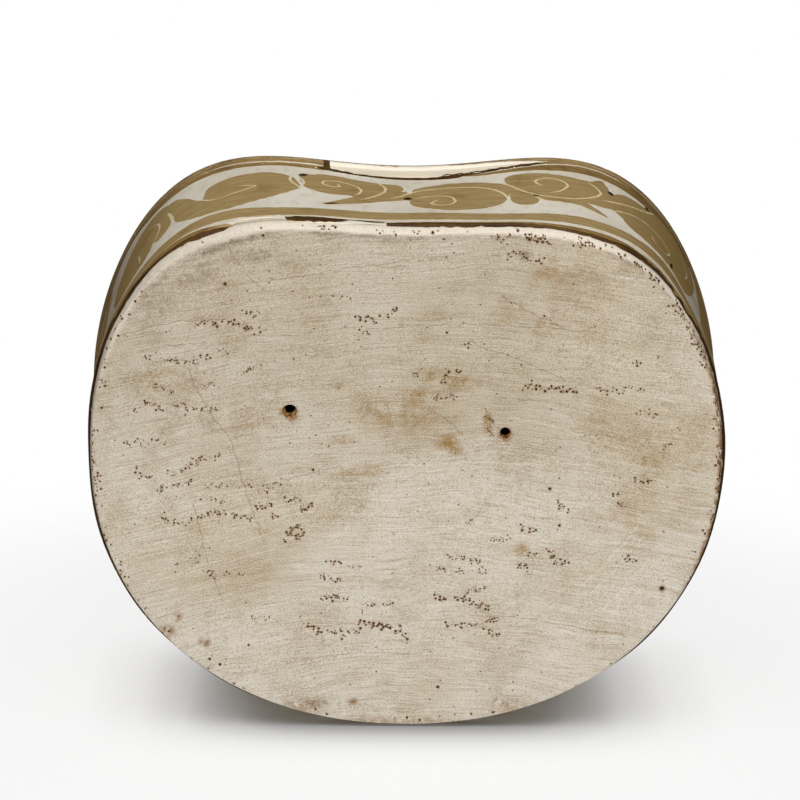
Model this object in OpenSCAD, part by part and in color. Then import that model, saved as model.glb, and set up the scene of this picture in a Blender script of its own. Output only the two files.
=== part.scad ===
// Slab-built ceramic pillow of bean shape: a flat foot slab pierced by two firing
// vents, a wall of two bent clay strips that flares out to the rim, and a saddle-shaped
// headrest slab. Soft clay coils lute the inner seams, and a coat of white slip under
// clear glaze covers the wall and the headrest. Millimetres, +Z up, front edge at -Y,
// origin on the table under the widest line of the foot.

/* [Foot] */
// Width of the foot across its two ends
foot_w = 271; // [220:0.5:320]
// Depth of the foot from its widest line to the front edge
foot_front = 124.5; // [90:0.5:150]
// Depth of the foot from its widest line to the back edge
foot_back = 122; // [90:0.5:150]
// Squareness of the foot's left front corner, where 2 is an ellipse
foot_left_fullness = 2.28; // [2:0.01:3]
// Squareness of the foot's right front corner, where 2 is an ellipse
foot_right_fullness = 2.13; // [2:0.01:3]
// How far the middle of the foot's front edge is pressed in
foot_dip = 23.5; // [5:0.5:30]
// Thickness of the foot slab
foot_slab_t = 9; // [7:0.5:14]
// Height of the knife-trimmed bevel round the foot
bevel_h = 5; // [2:0.5:6]
// How far the bevel cuts in under the straight front
front_bevel = 3.2; // [2:0.2:8]
// How far the bevel cuts in round the ends and the back
edge_bevel = 1.8; // [1:0.2:5]

/* [Rim] */
// Width across the wall's outer face, under the headrest
rim_w = 281.5; // [240:0.5:340]
// Depth of the rim from its widest line to the front
rim_front = 148.5; // [110:0.5:170]
// Depth of the rim from its widest line to the back
rim_back = 123.5; // [100:0.5:150]
// Squareness of the rim's front corners, where 2 is an ellipse
rim_front_fullness = 1.98; // [1.8:0.02:3]
// How far the middle of the rim's front is pressed in
rim_dip = 42.5; // [20:0.5:50]
// Squareness of the back of the foot and the rim, where 2 is an ellipse
back_fullness = 2.13; // [1.9:0.01:2.6]
// Half the width of the pressed-in stretch of the front
dip_half_w = 127.5; // [80:0.5:135]

/* [Height] */
// Height of the wall at the middle of the front, under the headrest
front_h = 79; // [60:1:110]
// How much higher the two ends stand than the middle
end_rise = 22.5; // [5:0.5:40]
// How much higher the back stands than the front
back_rise = 14; // [0:1:40]

/* [Wall] */
// Thickness of the wall strips
wall_t = 8; // [6:0.5:12]
// Angle of the two luted wall seams, forward of the widest line
seam_turn = 24; // [10:1:40]
// Angle that the bevelled strip ends overlap at a seam
scarf_turn = 4; // [1:0.5:8]

/* [Headrest] */
// Thickness of the headrest slab
headrest_t = 9; // [7:0.5:14]
// How far the lip stands out past the wall at the ends and the back
lip_over = 1.4; // [1:0.1:6]
// How far the lip stands out past the wall at the two front corners
lip_front_over = 0.8; // [0.8:0.1:6]
// How far the middle of the lip's front is pressed in
lip_dip = 38.5; // [15:0.5:45]
// Width of the round-over at the lip's upper edge
lip_round = 6; // [2:0.5:10]
// Size of the softened lower edge of the lip
lip_soft = 0.5; // [0.2:0.1:0.6]

/* [Luting] */
// Thickness of the slip left under the strips pressed over the wall seams
lute_t = 0.2; // [0.1:0.05:0.5]
// Leg of the clay fillet pressed into the foot and headrest seams
coil_w = 9; // [4:0.5:14]
// Width of the clay strip pressed over each wall seam
seam_coil_w = 18; // [10:1:30]
// Thickness of the clay strip pressed over each wall seam
seam_coil_t = 3.5; // [1.5:0.5:6]

/* [Glaze] */
// Thickness of the white slip and clear glaze together
glaze_t = 0.8; // [0.4:0.1:1.2]
// Height of the bare clay band between the table and the glaze
bare_h = 7; // [6:0.5:12]

/* [Vents] */
// Diameter of the left firing vent through the foot slab
left_vent_d = 6.2; // [3:0.2:9]
// Left vent, across the foot
left_vent_x = -50; // [-70:0.5:-20]
// Left vent, along the depth of the foot
left_vent_y = -21.5; // [-60:0.5:60]
// Diameter of the right firing vent through the foot slab
right_vent_d = 4.8; // [3:0.2:9]
// Right vent, across the foot
right_vent_x = 42; // [20:0.5:70]
// Right vent, along the depth of the foot
right_vent_y = -12.5; // [-60:0.5:60]

/* [Quality] */
// Number of steps round the outline
around = 96; // [48:12:120]

/* [Hidden] */
clay = [0.78, 0.74, 0.66];
wet_clay = [0.70, 0.64, 0.55];
white_glaze = [0.86, 0.84, 0.79];
foot_corners = [foot_left_fullness, foot_right_fullness];
rim_corners = [rim_front_fullness, rim_front_fullness];
right_seam = -seam_turn;
left_seam = 180 + seam_turn;
front_steps = 2 * round(around * (90 - seam_turn) / 360);
back_steps = around - front_steps;
back_turn = arc_steps(right_seam, left_seam, back_steps);
front_turn = arc_steps(left_seam, 360 + right_seam, front_steps);
turn = [for (i = [0 : around - 1]) i < back_steps ? back_turn[i] : front_turn[i - back_steps]];
cut_over = 1;
bevel_from = 0.62;
bevel_full = 0.84;
lip_arc = [for (i = [0 : 5]) i * 18];
inner_shares = [0.25, 0.5, 0.75];
top_shares = [0.88, 0.68, 0.46, 0.23];

function arc_steps(from, to, count) = [for (i = [0 : count]) from + (to - from) * i / count];

function clamp(value, low, high) = max(low, min(high, value));

// Bean outline at one angle: a squared ellipse for each half, pressed in at mid front,
// with a fullness for the left and for the right front corner
function bean(angle, half_w, front, back, corners, dip) =
    let (is_front = sin(angle) < 0,
         depth = is_front ? front : back,
         n = is_front ? corners[cos(angle) < 0 ? 0 : 1] : back_fullness,
         r = pow(pow(abs(cos(angle)) / half_w, n) + pow(abs(sin(angle)) / depth, n), -1 / n),
         x = r * cos(angle),
         press = is_front && abs(x) < dip_half_w ? dip * (1 + cos(180 * x / dip_half_w)) / 2 : 0)
    [x, r * sin(angle) + press];

function foot_pt(angle, inset = 0) =
    bean(angle, foot_w / 2 - inset, foot_front - inset, foot_back - inset, foot_corners, foot_dip);

function rim_pt(angle, inset = 0) =
    bean(angle, rim_w / 2 - inset, rim_front - inset, rim_back - inset, rim_corners, rim_dip);

function lip_pt(angle, outset = 0) =
    let (over = lip_over + outset,
         front = rim_front + lip_front_over + outset)
    bean(angle, rim_w / 2 + over, front, rim_back + over, rim_corners, lip_dip);

// Cut of the foot's bevel, which runs out from the straight front round the corners
function bevel_cut(angle) =
    let (share = clamp((-sin(angle) - bevel_from) / (bevel_full - bevel_from), 0, 1))
    edge_bevel + (front_bevel - edge_bevel) * share * share * (3 - 2 * share);

// Height of the headrest's underside: a saddle that rises to the ends and to the back
function saddle(p) =
    front_h + end_rise * pow(p.x / (rim_w / 2), 2)
    + back_rise * (p.y + rim_front - rim_dip) / (rim_front - rim_dip + rim_back);

function on_saddle(p, lift = 0) = [p.x, p.y, saddle(p) + lift];

function wall_top(angle, inset = 0) = on_saddle(rim_pt(angle, inset));

// Point of the wall's face at a height: each straight line of the wall runs from the
// top of the foot's bevel to the saddle
function wall_pt(angle, z, inset = 0) =
    let (low = foot_pt(angle, inset),
         high = wall_top(angle, inset),
         share = (z - bevel_h) / (high.z - bevel_h))
    [low.x + (high.x - low.x) * share, low.y + (high.y - low.y) * share, z];

// Corner, two legs and hollow face of a luting fillet
function fillet(corner, leg_a, leg_b) =
    [corner, leg_a, corner + 0.3 * (leg_a - corner) + 0.3 * (leg_b - corner), leg_b];

function flat_points(rings) = [for (ring = rings) for (p = ring) p];

// Quad split along its shorter diagonal, so that two faces that meet split alike
function quad(pts, a, b, c, d) =
    let (halves = norm(pts[a] - pts[c]) <= norm(pts[b] - pts[d])
            ? [[a, b, c], [a, c, d]]
            : [[a, b, d], [b, c, d]])
    [for (f = halves)
        if (pts[f[0]] != pts[f[1]] && pts[f[1]] != pts[f[2]] && pts[f[2]] != pts[f[0]]) f];

// Faces between sections i and j of m points
function band_faces(pts, i, j, m) =
    [for (k = [0 : m - 1])
        let (next = (k + 1) % m)
        each quad(pts, i * m + k, i * m + next, j * m + next, j * m + k)];

// Closed skin through sections round the pillow, joined end to end
module hoop(sections) {
    m = len(sections[0]);
    n = len(sections);
    pts = flat_points(sections);
    polyhedron(pts, [for (i = [0 : n - 1]) each band_faces(pts, i, (i + 1) % n, m)]);
}

// Skin through a row of sections of four or more points, with a cap at each end
module strip(sections) {
    m = len(sections[0]);
    n = len(sections);
    last = (n - 1) * m;
    pts = flat_points(sections);
    start_cap = [for (k = [1 : m - 2]) [0, k + 1, k]];
    end_cap = [for (k = [1 : m - 2]) [last, last + k, last + k + 1]];
    sides = [for (i = [0 : n - 2]) each band_faces(pts, i, i + 1, m)];
    polyhedron(pts, concat(sides, start_cap, end_cap));
}

// Skin through rings that close to a point on the axis at both ends
module dome(rings, first_pole, last_pole) {
    m = len(rings[0]);
    n = len(rings);
    first = n * m;
    last = first + 1;
    pts = concat(flat_points(rings), [first_pole, last_pole]);
    start = [for (k = [0 : m - 1]) [first, (k + 1) % m, k]];
    end = [for (k = [0 : m - 1]) [last, (n - 1) * m + k, (n - 1) * m + (k + 1) % m]];
    sides = [for (i = [0 : n - 2]) each band_faces(pts, i, i + 1, m)];
    polyhedron(pts, concat(sides, start, end));
}

// Section of a wall strip, with its own angle for the outer and the inner face
function wall_section(outer, inner) =
    [wall_pt(outer, foot_slab_t), wall_top(outer), wall_top(inner, wall_t), wall_pt(inner, foot_slab_t, wall_t)];

// Clay strip pressed over one wall seam on the inside
module seam_coil(angle) {
    half = asin(seam_coil_w / rim_w);
    low = foot_slab_t + coil_w;
    across = [-1, -0.5, 0, 0.5, 1];
    rows = [for (end = [0, 1])
        [for (face = [0, 1]) for (k = across)
            let (s = face == 0 ? k : -k,
                 a = angle + s * half,
                 inset = wall_t + lute_t + face * seam_coil_t * (1.2 - s * s),
                 top = saddle(rim_pt(a, wall_t)) - coil_w)
            wall_pt(a, end == 0 ? low : top, inset)]];
    strip([rows[1], rows[0]]);
}

// Rings of the lip's edge and of the headrest's upper face, from the edge inwards
function lip_ring(arc, coat = 0) =
    [for (a = turn)
        let (p = lip_pt(a, coat * cos(arc) - lip_round * (1 - cos(arc))))
        on_saddle(p, lip_soft + (headrest_t - lip_soft + coat) * sin(arc))];

function top_ring(share, coat = 0) =
    [for (a = turn) on_saddle(share * lip_pt(a, -lip_round), headrest_t + coat)];

function upper_rings(coat = 0) =
    concat([for (arc = lip_arc) lip_ring(arc, coat)], [for (share = top_shares) top_ring(share, coat)]);

function reverse(list) = [for (i = [len(list) - 1 : -1 : 0]) list[i]];

// Firing vent through the foot slab
module vent(x, y, d) {
    translate([x, y, -cut_over])
        cylinder(d = d, h = foot_slab_t + 2 * cut_over, $fn = 48);
}

module foot_slab() {
    edge_rings = [[for (a = turn) [each foot_pt(a, bevel_cut(a)), 0]],
                  [for (a = turn) wall_pt(a, bevel_h)],
                  [for (a = turn) wall_pt(a, foot_slab_t)]];
    color(clay)
    difference() {
        dome(edge_rings, [0, 0, 0], [0, 0, foot_slab_t]);
        vent(left_vent_x, left_vent_y, left_vent_d);
        vent(right_vent_x, right_vent_y, right_vent_d);
    }
}

module front_wall() {
    first = left_seam;
    last = 360 + right_seam;
    color(clay)
        strip(concat([wall_section(first, first - scarf_turn)],
                     [for (a = front_turn) wall_section(a, a)],
                     [wall_section(last, last + scarf_turn)]));
}

module back_wall() {
    first = right_seam + scarf_turn;
    last = left_seam - scarf_turn;
    color(clay)
        strip([for (a = back_turn) wall_section(a, clamp(a, first, last))]);
}

module headrest_slab() {
    under_rings = concat(
        [for (share = inner_shares) [for (a = turn) on_saddle(share * rim_pt(a, wall_t + coil_w))]],
        [[for (a = turn) wall_top(a, wall_t + coil_w)],
         [for (a = turn) wall_top(a, wall_t)],
         [for (a = turn) wall_top(a)],
         [for (a = turn) on_saddle(lip_pt(a, -lip_soft))]]);
    color(clay)
        dome(concat(under_rings, upper_rings()), on_saddle([0, 0]), on_saddle([0, 0], headrest_t));
}

module foot_coil() {
    color(wet_clay)
        hoop([for (a = turn)
            fillet(wall_pt(a, foot_slab_t, wall_t),
                   wall_pt(a, foot_slab_t, wall_t + coil_w),
                   wall_pt(a, foot_slab_t + coil_w, wall_t))]);
}

module headrest_coil() {
    color(wet_clay)
        hoop([for (a = turn)
            fillet(wall_top(a, wall_t),
                   wall_pt(a, saddle(rim_pt(a, wall_t)) - coil_w, wall_t),
                   wall_top(a, wall_t + coil_w))]);
}

module left_seam_coil() {
    color(wet_clay)
        seam_coil(left_seam - scarf_turn / 2);
}

module right_seam_coil() {
    color(wet_clay)
        seam_coil(right_seam + scarf_turn / 2);
}

module wall_glaze() {
    color(white_glaze)
        hoop([for (a = turn)
            [wall_pt(a, bare_h, -glaze_t), wall_top(a, -glaze_t), wall_top(a), wall_pt(a, foot_slab_t), wall_pt(a, bare_h)]]);
}

module headrest_glaze() {
    color(white_glaze)
        dome(concat(reverse(upper_rings()), upper_rings(glaze_t)),
             on_saddle([0, 0], headrest_t), on_saddle([0, 0], headrest_t + glaze_t));
}

foot_slab();
front_wall();
back_wall();
headrest_slab();
foot_coil();
headrest_coil();
left_seam_coil();
right_seam_coil();
wall_glaze();
headrest_glaze();
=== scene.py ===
"""A bean-shaped ceramic pillow, seen by a camera turned so that it seems to stand on its back edge.

Sizes below are millimetres in the frame of the part: the foot lies at z = 0, x runs along the pillow
and the painted front looks towards -y. They become metres where a mesh is made.
"""
import math
import random

import bpy
import numpy as np
from mathutils import Matrix, Vector, noise
from mathutils.geometry import delaunay_2d_cdt


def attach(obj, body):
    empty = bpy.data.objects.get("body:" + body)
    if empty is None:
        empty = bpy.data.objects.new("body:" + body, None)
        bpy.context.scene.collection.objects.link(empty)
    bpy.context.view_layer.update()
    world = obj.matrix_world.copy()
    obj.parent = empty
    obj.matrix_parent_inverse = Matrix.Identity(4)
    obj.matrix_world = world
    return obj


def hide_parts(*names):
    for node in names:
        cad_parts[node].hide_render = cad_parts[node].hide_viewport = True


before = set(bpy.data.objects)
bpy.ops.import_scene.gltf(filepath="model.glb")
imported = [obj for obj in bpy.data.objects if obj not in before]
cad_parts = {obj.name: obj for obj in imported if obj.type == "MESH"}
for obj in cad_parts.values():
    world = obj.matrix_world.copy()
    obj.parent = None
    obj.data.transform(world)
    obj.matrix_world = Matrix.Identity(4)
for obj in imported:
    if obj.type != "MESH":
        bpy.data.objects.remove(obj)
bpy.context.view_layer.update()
bpy.ops.object.select_all(action="DESELECT")

MM = 0.001
dice = random.Random(11)

# The form of the pillow, as in the source of the part.
FOOT_W = 271.0
FOOT_FRONT = 124.5
FOOT_BACK = 122.0
FOOT_FULL = (2.28, 2.13)
FOOT_DIP = 23.5
FOOT_T = 9.0
BEVEL_H = 5.0
FRONT_BEVEL = 3.2
EDGE_BEVEL = 1.8
BEVEL_FROM = 0.62
BEVEL_FULL = 0.84
RIM_W = 281.5
RIM_FRONT = 148.5
RIM_BACK = 123.5
RIM_FULL = (1.98, 1.98)
RIM_DIP = 42.5
BACK_FULL = 2.13
DIP_HALF_W = 127.5
FRONT_H = 79.0
END_RISE = 22.5
BACK_RISE = 14.0
HEADREST_T = 9.0
LIP_OVER = 1.4
LIP_FRONT_OVER = 0.8
LIP_DIP = 38.5
LIP_ROUND = 6.0
LIP_SOFT = 0.5
GLAZE_T = 0.8

# What the part leaves out: the brushed slip, the roll of glaze at its lower edge and hand waves.
SLIP_T = 0.14
SLIP_SUNK = 0.08
BEAD_T = 0.2
BEAD_UP = 1.2
# Each wave is a size, a count round half the pillow, a lean and a start.
HAND_WAVES = [(0.16, 9, 21, 0.0), (0.12, 17, -13, 1.2)]
SMOOTH_UP_TO = math.radians(42)
# How finely a hand wavers, and how far when it paints a leaf, cuts a line or draws a band.
WAVER_SCALE = 0.35
LEAF_WAVER = 0.5
CUT_WAVER = 0.3
BAND_WAVER = 0.45
BRUSH_SPAN = 9
TAPER = 5
TIP = 0.12
STRIP_STEP = 1.5
ROW_GAP = 0.866
SCATTER = 0.14
UV_SPAN = 10


def dip_at(x, depth):
    """How far the front line is pushed in at x."""
    wave = depth * (1 + np.cos(np.pi * x / DIP_HALF_W)) / 2
    return np.where(np.abs(x) < DIP_HALF_W, wave, 0.0)


def bean(angle, half_w, front, back, full, dip):
    """Points of a bean outline at these angles; full is for the left and the right front corner."""
    cos, sin = np.cos(angle), np.sin(angle)
    ahead = sin < 0
    depth = np.where(ahead, front, back)
    power = np.where(ahead, np.where(cos < 0, *full), BACK_FULL)
    reach = ((np.abs(cos) / half_w) ** power + (np.abs(sin) / depth) ** power) ** (-1 / power)
    x, y = reach * cos, reach * sin
    return np.column_stack([x, y + np.where(ahead, dip_at(x, dip), 0.0)])


def foot_line(angle, out=0.0):
    return bean(angle, FOOT_W / 2 + out, FOOT_FRONT + out, FOOT_BACK + out, FOOT_FULL, FOOT_DIP)


def rim_line(angle, out=0.0):
    return bean(angle, RIM_W / 2 + out, RIM_FRONT + out, RIM_BACK + out, RIM_FULL, RIM_DIP)


def lip_line(angle, out):
    front = RIM_FRONT + LIP_FRONT_OVER + out
    back = RIM_BACK + LIP_OVER + out
    return bean(angle, RIM_W / 2 + LIP_OVER + out, front, back, RIM_FULL, LIP_DIP)


def round_lip(angle, arc, coat):
    """The lip's outline at this arc of its rounded edge, and how far it has risen there."""
    line = lip_line(angle, coat * np.cos(arc) - LIP_ROUND * (1 - np.cos(arc)))
    return line, (HEADREST_T - LIP_SOFT + coat) * np.sin(arc)


def saddle(flat):
    """Height of the headrest's underside over these points."""
    front_y = RIM_DIP - RIM_FRONT
    sides = END_RISE * (flat[:, 0] / (RIM_W / 2)) ** 2
    return FRONT_H + sides + BACK_RISE * (flat[:, 1] - front_y) / (RIM_BACK - front_y)


def smooth(value, low, high):
    t = np.clip((value - low) / (high - low), 0.0, 1.0)
    return t * t * (3 - 2 * t)


def bevel_at(angle):
    """Width of the foot's bevel, wide along the front only."""
    return EDGE_BEVEL + (FRONT_BEVEL - EDGE_BEVEL) * smooth(-np.sin(angle), BEVEL_FROM, BEVEL_FULL)


def gone_along(line):
    """Distance from the line's start to each of its points."""
    return np.concatenate([[0.0], np.cumsum(np.hypot(*np.diff(line, axis=0).T))])


# A run is a distance along the wall's middle line from the front's middle, + towards +x.
RUN_STEPS = 3600
RUN_ANGLES = np.radians(np.linspace(-270.0, 90.0, RUN_STEPS + 1))
RUNS = gone_along((foot_line(RUN_ANGLES, GLAZE_T) + rim_line(RUN_ANGLES, GLAZE_T)) / 2)
RUNS -= RUNS[RUN_STEPS // 2]
HALF_RUN = RUNS[-1]
RUNS = np.where(RUNS < 0, RUNS * HALF_RUN / -RUNS[0], RUNS)


def angle_at(run):
    return np.interp(run, RUNS, RUN_ANGLES)


def wrapped(runs):
    """Runs that go past the back's middle, brought round to its other side."""
    return (runs + HALF_RUN) % (2 * HALF_RUN) - HALF_RUN


def hand_wave(run, height):
    """The slight unevenness of a wall shaped by hand."""
    turn = np.pi * run / HALF_RUN
    return sum(size * np.sin(count * turn + height / lean + start)
               for size, count, lean, start in HAND_WAVES)


def bead(above):
    """The roll of glaze that gathered just above its lower edge."""
    return BEAD_T * np.exp(-((above - BEAD_UP) / BEAD_UP) ** 2)


def wall_point(run, height, out):
    """Points of the wall's face, which follows the foot's bevel at its lower end."""
    angle = angle_at(run)
    inset = bevel_at(angle) * np.clip(1 - height / BEVEL_H, 0, 1)
    low, high = foot_line(angle, out - inset), rim_line(angle, out)
    share = np.clip((height - BEVEL_H) / (saddle(high) - BEVEL_H), 0, 1)
    return np.column_stack([low + (high - low) * share[:, None], height])


def wall_top(run):
    return saddle(rim_line(angle_at(run), GLAZE_T))


def drawn_line(*marks):
    """A line drawn round the wall by hand through marks of run and height."""
    runs = np.arange(-HALF_RUN, HALF_RUN + 1.0, 1.0)
    heights = np.interp(runs, *np.array(marks, float).T)
    brush = np.hanning(BRUSH_SPAN)
    soft = np.convolve(np.pad(heights, BRUSH_SPAN // 2, "edge"), brush / brush.sum(), "valid")
    return lambda run: np.interp(run, runs, soft)


# The edges of the glaze, of the dark line above it and of the painted band.
glaze_edge = drawn_line(
    (-420, 6), (-150, 5.4), (-140, 4.2), (-130, 4.3), (-125, 4.8), (-120, 5.5), (-115, 6.3), (-110, 5.9),
    (-105, 5.6), (-100, 5), (-95, 4.4), (-84, 4), (-80, 4.8), (-77, 7.5), (-75, 9.5), (-70, 10.5),
    (-60, 10), (-57, 9), (-54.5, 5.6), (-52, 4.8), (-45, 4.6), (-38, 5), (-28, 5.6), (-25, 6.5),
    (-22, 7.2), (-14, 7), (-10, 6), (10, 5.4), (20, 5.1), (30, 4.9), (60, 4.9), (70, 5.1), (85, 4.9),
    (97, 5.4), (102, 6.5), (107, 6.5), (112, 8), (120, 7), (128, 4.8), (135, 4), (150, 5), (420, 6))
line_top = drawn_line(
    (-420, 9), (-150, 8), (-140, 6.8), (-130, 8.3), (-125, 9.6), (-120, 11), (-115, 11.8), (-105, 12.2),
    (-100, 11.8), (-92, 10), (-86, 7.6), (-80, 5), (-77, 7), (-12, 6.8), (-4, 7.6), (0, 8.2), (10, 8.2),
    (20, 7.6), (30, 7.1), (40, 6.9), (50, 7.1), (60, 7.6), (70, 8.6), (80, 9.6), (90, 10.8), (98, 11),
    (107, 9.8), (112, 10.4), (120, 9.2), (128, 6.4), (135, 5.4), (150, 7), (420, 9))
band_low = drawn_line(
    (-420, 13), (-150, 9), (-140, 8), (-130, 9.5), (-120, 12.5), (-100, 13.2), (-80, 11.5), (-60, 10.6),
    (-40, 12), (0, 12.5), (20, 11.5), (40, 10), (60, 11), (80, 13.5), (100, 16.5), (120, 16), (130, 13),
    (140, 10), (150, 11), (420, 13))
band_high = drawn_line(
    (-420, 24), (-150, 16), (-140, 14), (-130, 17), (-120, 20), (-110, 22.5), (-95, 24), (-80, 23),
    (-60, 21.5), (0, 22.5), (10, 22), (20, 20.5), (40, 18.5), (50, 18.5), (70, 21), (90, 24), (110, 28.5),
    (120, 28.5), (128, 26), (135, 22), (145, 17), (155, 17), (420, 24))
# How far below the wall's top the lower and the upper edge of the border lie.
border_drop = drawn_line(
    (-420, 5), (-130, 5), (-105, 8), (-100, 8), (-90, 7), (-80, 5.3), (-70, 3.8), (-60, 2.6), (-50, 1.8),
    (-34, 1.4), (24, 3.5), (30, 5), (50, 6.5), (60, 7.5), (80, 8.3), (100, 10.5), (107, 10), (115, 7),
    (125, 5), (420, 5))
border_gap = drawn_line((20, 3), (35, 2.2), (45, 1.8), (55, 0.8), (60, 0.2))


# Outlines are drawn on a flat sheet and then laid on the pillow.
def noisy(line, amount):
    """The line with the small waver of a brush."""
    waver, sway = [[noise.noise(Vector((*(p * WAVER_SCALE), level))) for p in line]
                   for level in (3.0, 9.0)]
    return line + amount * np.column_stack([waver, sway])


def curve(points, closed, step=1.0):
    """A smooth line through the points, sampled about every step."""
    points = np.array(points, float)
    ends = (points[-1:], points[:2]) if closed else (points[:1], points[-1:])
    p = np.concatenate([ends[0], points, ends[1]])
    line = []
    for a, b, c, d in zip(p[:-3], p[1:-2], p[2:-1], p[3:]):
        t = np.arange(0, 1, 1 / max(1, math.ceil(np.hypot(*(c - b)) / step)))[:, None]
        bow = (2 * a - 5 * b + 4 * c - d) * t ** 2
        line.append(b + ((c - a) * t + bow + (3 * b - a - 3 * c + d) * t ** 3) / 2)
    if not closed:
        line.append(points[-1:])
    return np.concatenate(line)


def leaf(*points):
    return noisy(curve(points, True), LEAF_WAVER)


def ribbon(line, width):
    """The outline of a line with this width, narrow at both ends."""
    along = np.gradient(line, axis=0)
    across = np.column_stack([-along[:, 1], along[:, 0]]) / np.hypot(*along.T)[:, None]
    gone = gone_along(line)
    narrow = np.sqrt(np.clip(np.minimum(gone, gone[-1] - gone) / TAPER + TIP, 0, 1))
    half = across * (width / 2 * narrow)[:, None]
    return np.concatenate([line + half, (line - half)[::-1]])


def cut(width, *points):
    """The outline of a line cut through the slip with a pointed tool."""
    return noisy(ribbon(curve(points, False), width), CUT_WAVER)


def strip(low, high, start, end):
    """The outline of a band between two drawn lines."""
    runs = np.linspace(start, end, int((end - start) / STRIP_STEP) + 2)
    lower = np.column_stack([runs, low(runs)])
    upper = np.column_stack([runs, np.maximum(high(runs), low(runs) + 0.05)])
    across = np.linspace(0, 1, 10)[1:-1, None]
    last = lower[-1] + (upper[-1] - lower[-1]) * across
    first = upper[0] + (lower[0] - upper[0]) * across
    return noisy(np.concatenate([lower, last, upper[::-1], first]), BAND_WAVER)


def inside(points, outline):
    """Which points lie in the outline."""
    found = np.zeros(len(points), bool)
    lo, hi = outline.min(0), outline.max(0)
    near = np.nonzero(((points > lo) & (points < hi)).all(1))[0]
    x, y = points[near].T
    odd = np.zeros(len(near), bool)
    for (ax, ay), (bx, by) in zip(outline, np.roll(outline, -1, 0)):
        if ay != by:
            odd ^= ((ay > y) != (by > y)) & (x < (bx - ax) * (y - ay) / (by - ay) + ax)
    found[near] = odd
    return found


def lattice(lo, hi, gap):
    """Even points in staggered rows, each a little off its place."""
    rows = []
    for number, y in enumerate(np.arange(lo[1], hi[1], gap * ROW_GAP)):
        x = np.arange(lo[0] + gap / 2 * (number % 2), hi[0], gap)
        rows.append(np.column_stack([x, np.full(len(x), y)]))
    points = np.concatenate(rows)
    shift = np.array([[dice.uniform(-1, 1), dice.uniform(-1, 1)] for _ in points])
    return points + shift * gap * SCATTER


def triangles(outlines, loose):
    """A flat mesh that keeps every outline as edges."""
    points = [Vector(p) for p in loose]
    edges = []
    for outline in outlines:
        first = len(points)
        points += [Vector(p) for p in outline]
        edges += [(first + i, first + (i + 1) % len(outline)) for i in range(len(outline))]
    flat, _, faces, *_ = delaunay_2d_cdt(points, edges, [], 0, 1e-5)
    return np.array([tuple(p) for p in flat]), np.array(faces)


def make_piece(name, points, faces, looks):
    """A mesh piece at the origin, selected and active."""
    mesh = bpy.data.meshes.new(name)
    mesh.from_pydata((np.asarray(points) * MM).tolist(), [], [tuple(map(int, f)) for f in faces])
    piece = bpy.data.objects.new(name, mesh)
    bpy.context.collection.objects.link(piece)
    for look in looks:
        mesh.materials.append(look)
    take(piece)
    return piece


def take(piece):
    bpy.ops.object.select_all(action="DESELECT")
    piece.select_set(True)
    bpy.context.view_layer.objects.active = piece


def in_edit(*steps):
    """Run mesh operators on the whole active piece."""
    bpy.ops.object.mode_set(mode="EDIT")
    bpy.ops.mesh.select_all(action="SELECT")
    for step, settings in steps:
        step(**settings)
    bpy.ops.object.mode_set(mode="OBJECT")


def finish_piece(piece, slot, *nodes):
    """Smooth shading, then the piece joins the body."""
    take(piece)
    bpy.ops.object.shade_smooth_by_angle(angle=SMOOTH_UP_TO)
    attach(piece, "root")
    if nodes:
        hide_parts(*nodes)


def set_attribute(piece, name, values):
    layer = piece.data.attributes.new(name, "FLOAT", "POINT")
    layer.data.foreach_set("value", np.asarray(values, np.float32))


def painted_sheet(name, shapes, cuts, loose, place, looks):
    """Slip painted on the pillow: shapes with a tone each, with the cut lines left open."""
    outlines = [s for s, _ in shapes] + cuts
    flat, faces = triangles(outlines, loose)
    middle = flat[faces].mean(1)
    tone = np.full(len(faces), -1)
    for outline, number in shapes + [(c, -1) for c in cuts]:
        tone[inside(middle, outline)] = number
    faces, tone = faces[tone >= 0], tone[tone >= 0]
    used = np.unique(faces)
    number = np.zeros(len(flat), int)
    number[used] = np.arange(len(used))
    flat, faces = flat[used], number[faces]
    piece = make_piece(name, place(flat), faces, looks)
    piece.data.polygons.foreach_set("material_index", tone.astype(np.int32))
    uv = piece.data.uv_layers.new(name="sheet")
    uv.data.foreach_set("uv", (flat[faces.ravel()] / UV_SPAN).astype(np.float32).ravel())
    bpy.ops.object.modifier_add(type="SOLIDIFY")
    end_shade_or_solidify = piece.modifiers[-1]
    end_shade_or_solidify.thickness = (SLIP_T + SLIP_SUNK) * MM
    end_shade_or_solidify.offset = -1
    bpy.ops.object.modifier_apply(modifier=end_shade_or_solidify.name)
    return piece


# Colours and node helpers.
def srgb(red, green, blue):
    """A colour in the steps of a screen, made linear."""
    part = [c / 255 for c in (red, green, blue)]
    return (*[c / 12.92 if c <= 0.04045 else ((c + 0.055) / 1.055) ** 2.4 for c in part], 1.0)


def feed(tree, node, inputs):
    """Link these inputs of a node, or set them where a plain value is given."""
    for key, value in inputs.items():
        if isinstance(value, bpy.types.NodeSocket):
            tree.links.new(value, node.inputs[key])
        else:
            node.inputs[key].default_value = value


def wire(tree, kind, inputs=None, **settings):
    made = tree.nodes.new(kind)
    for key, value in settings.items():
        setattr(made, key, value)
    feed(tree, made, inputs or {})
    return made


def mix(tree, share, first, second, blend="MIX"):
    ends = {0: share, 6: first, 7: second}
    return wire(tree, "ShaderNodeMix", ends, data_type="RGBA", blend_type=blend).outputs[2]


def sums(tree, operation, first, second=0.0, clamp=False):
    ends = {0: first, 1: second}
    return wire(tree, "ShaderNodeMath", ends, operation=operation, use_clamp=clamp).outputs[0]


def times(tree, first, second, clamp=False):
    return sums(tree, "MULTIPLY", first, second, clamp)


def arrows(tree, operation, *inputs):
    """Outputs of a vector sum."""
    return wire(tree, "ShaderNodeVectorMath", dict(enumerate(inputs)), operation=operation).outputs


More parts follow.
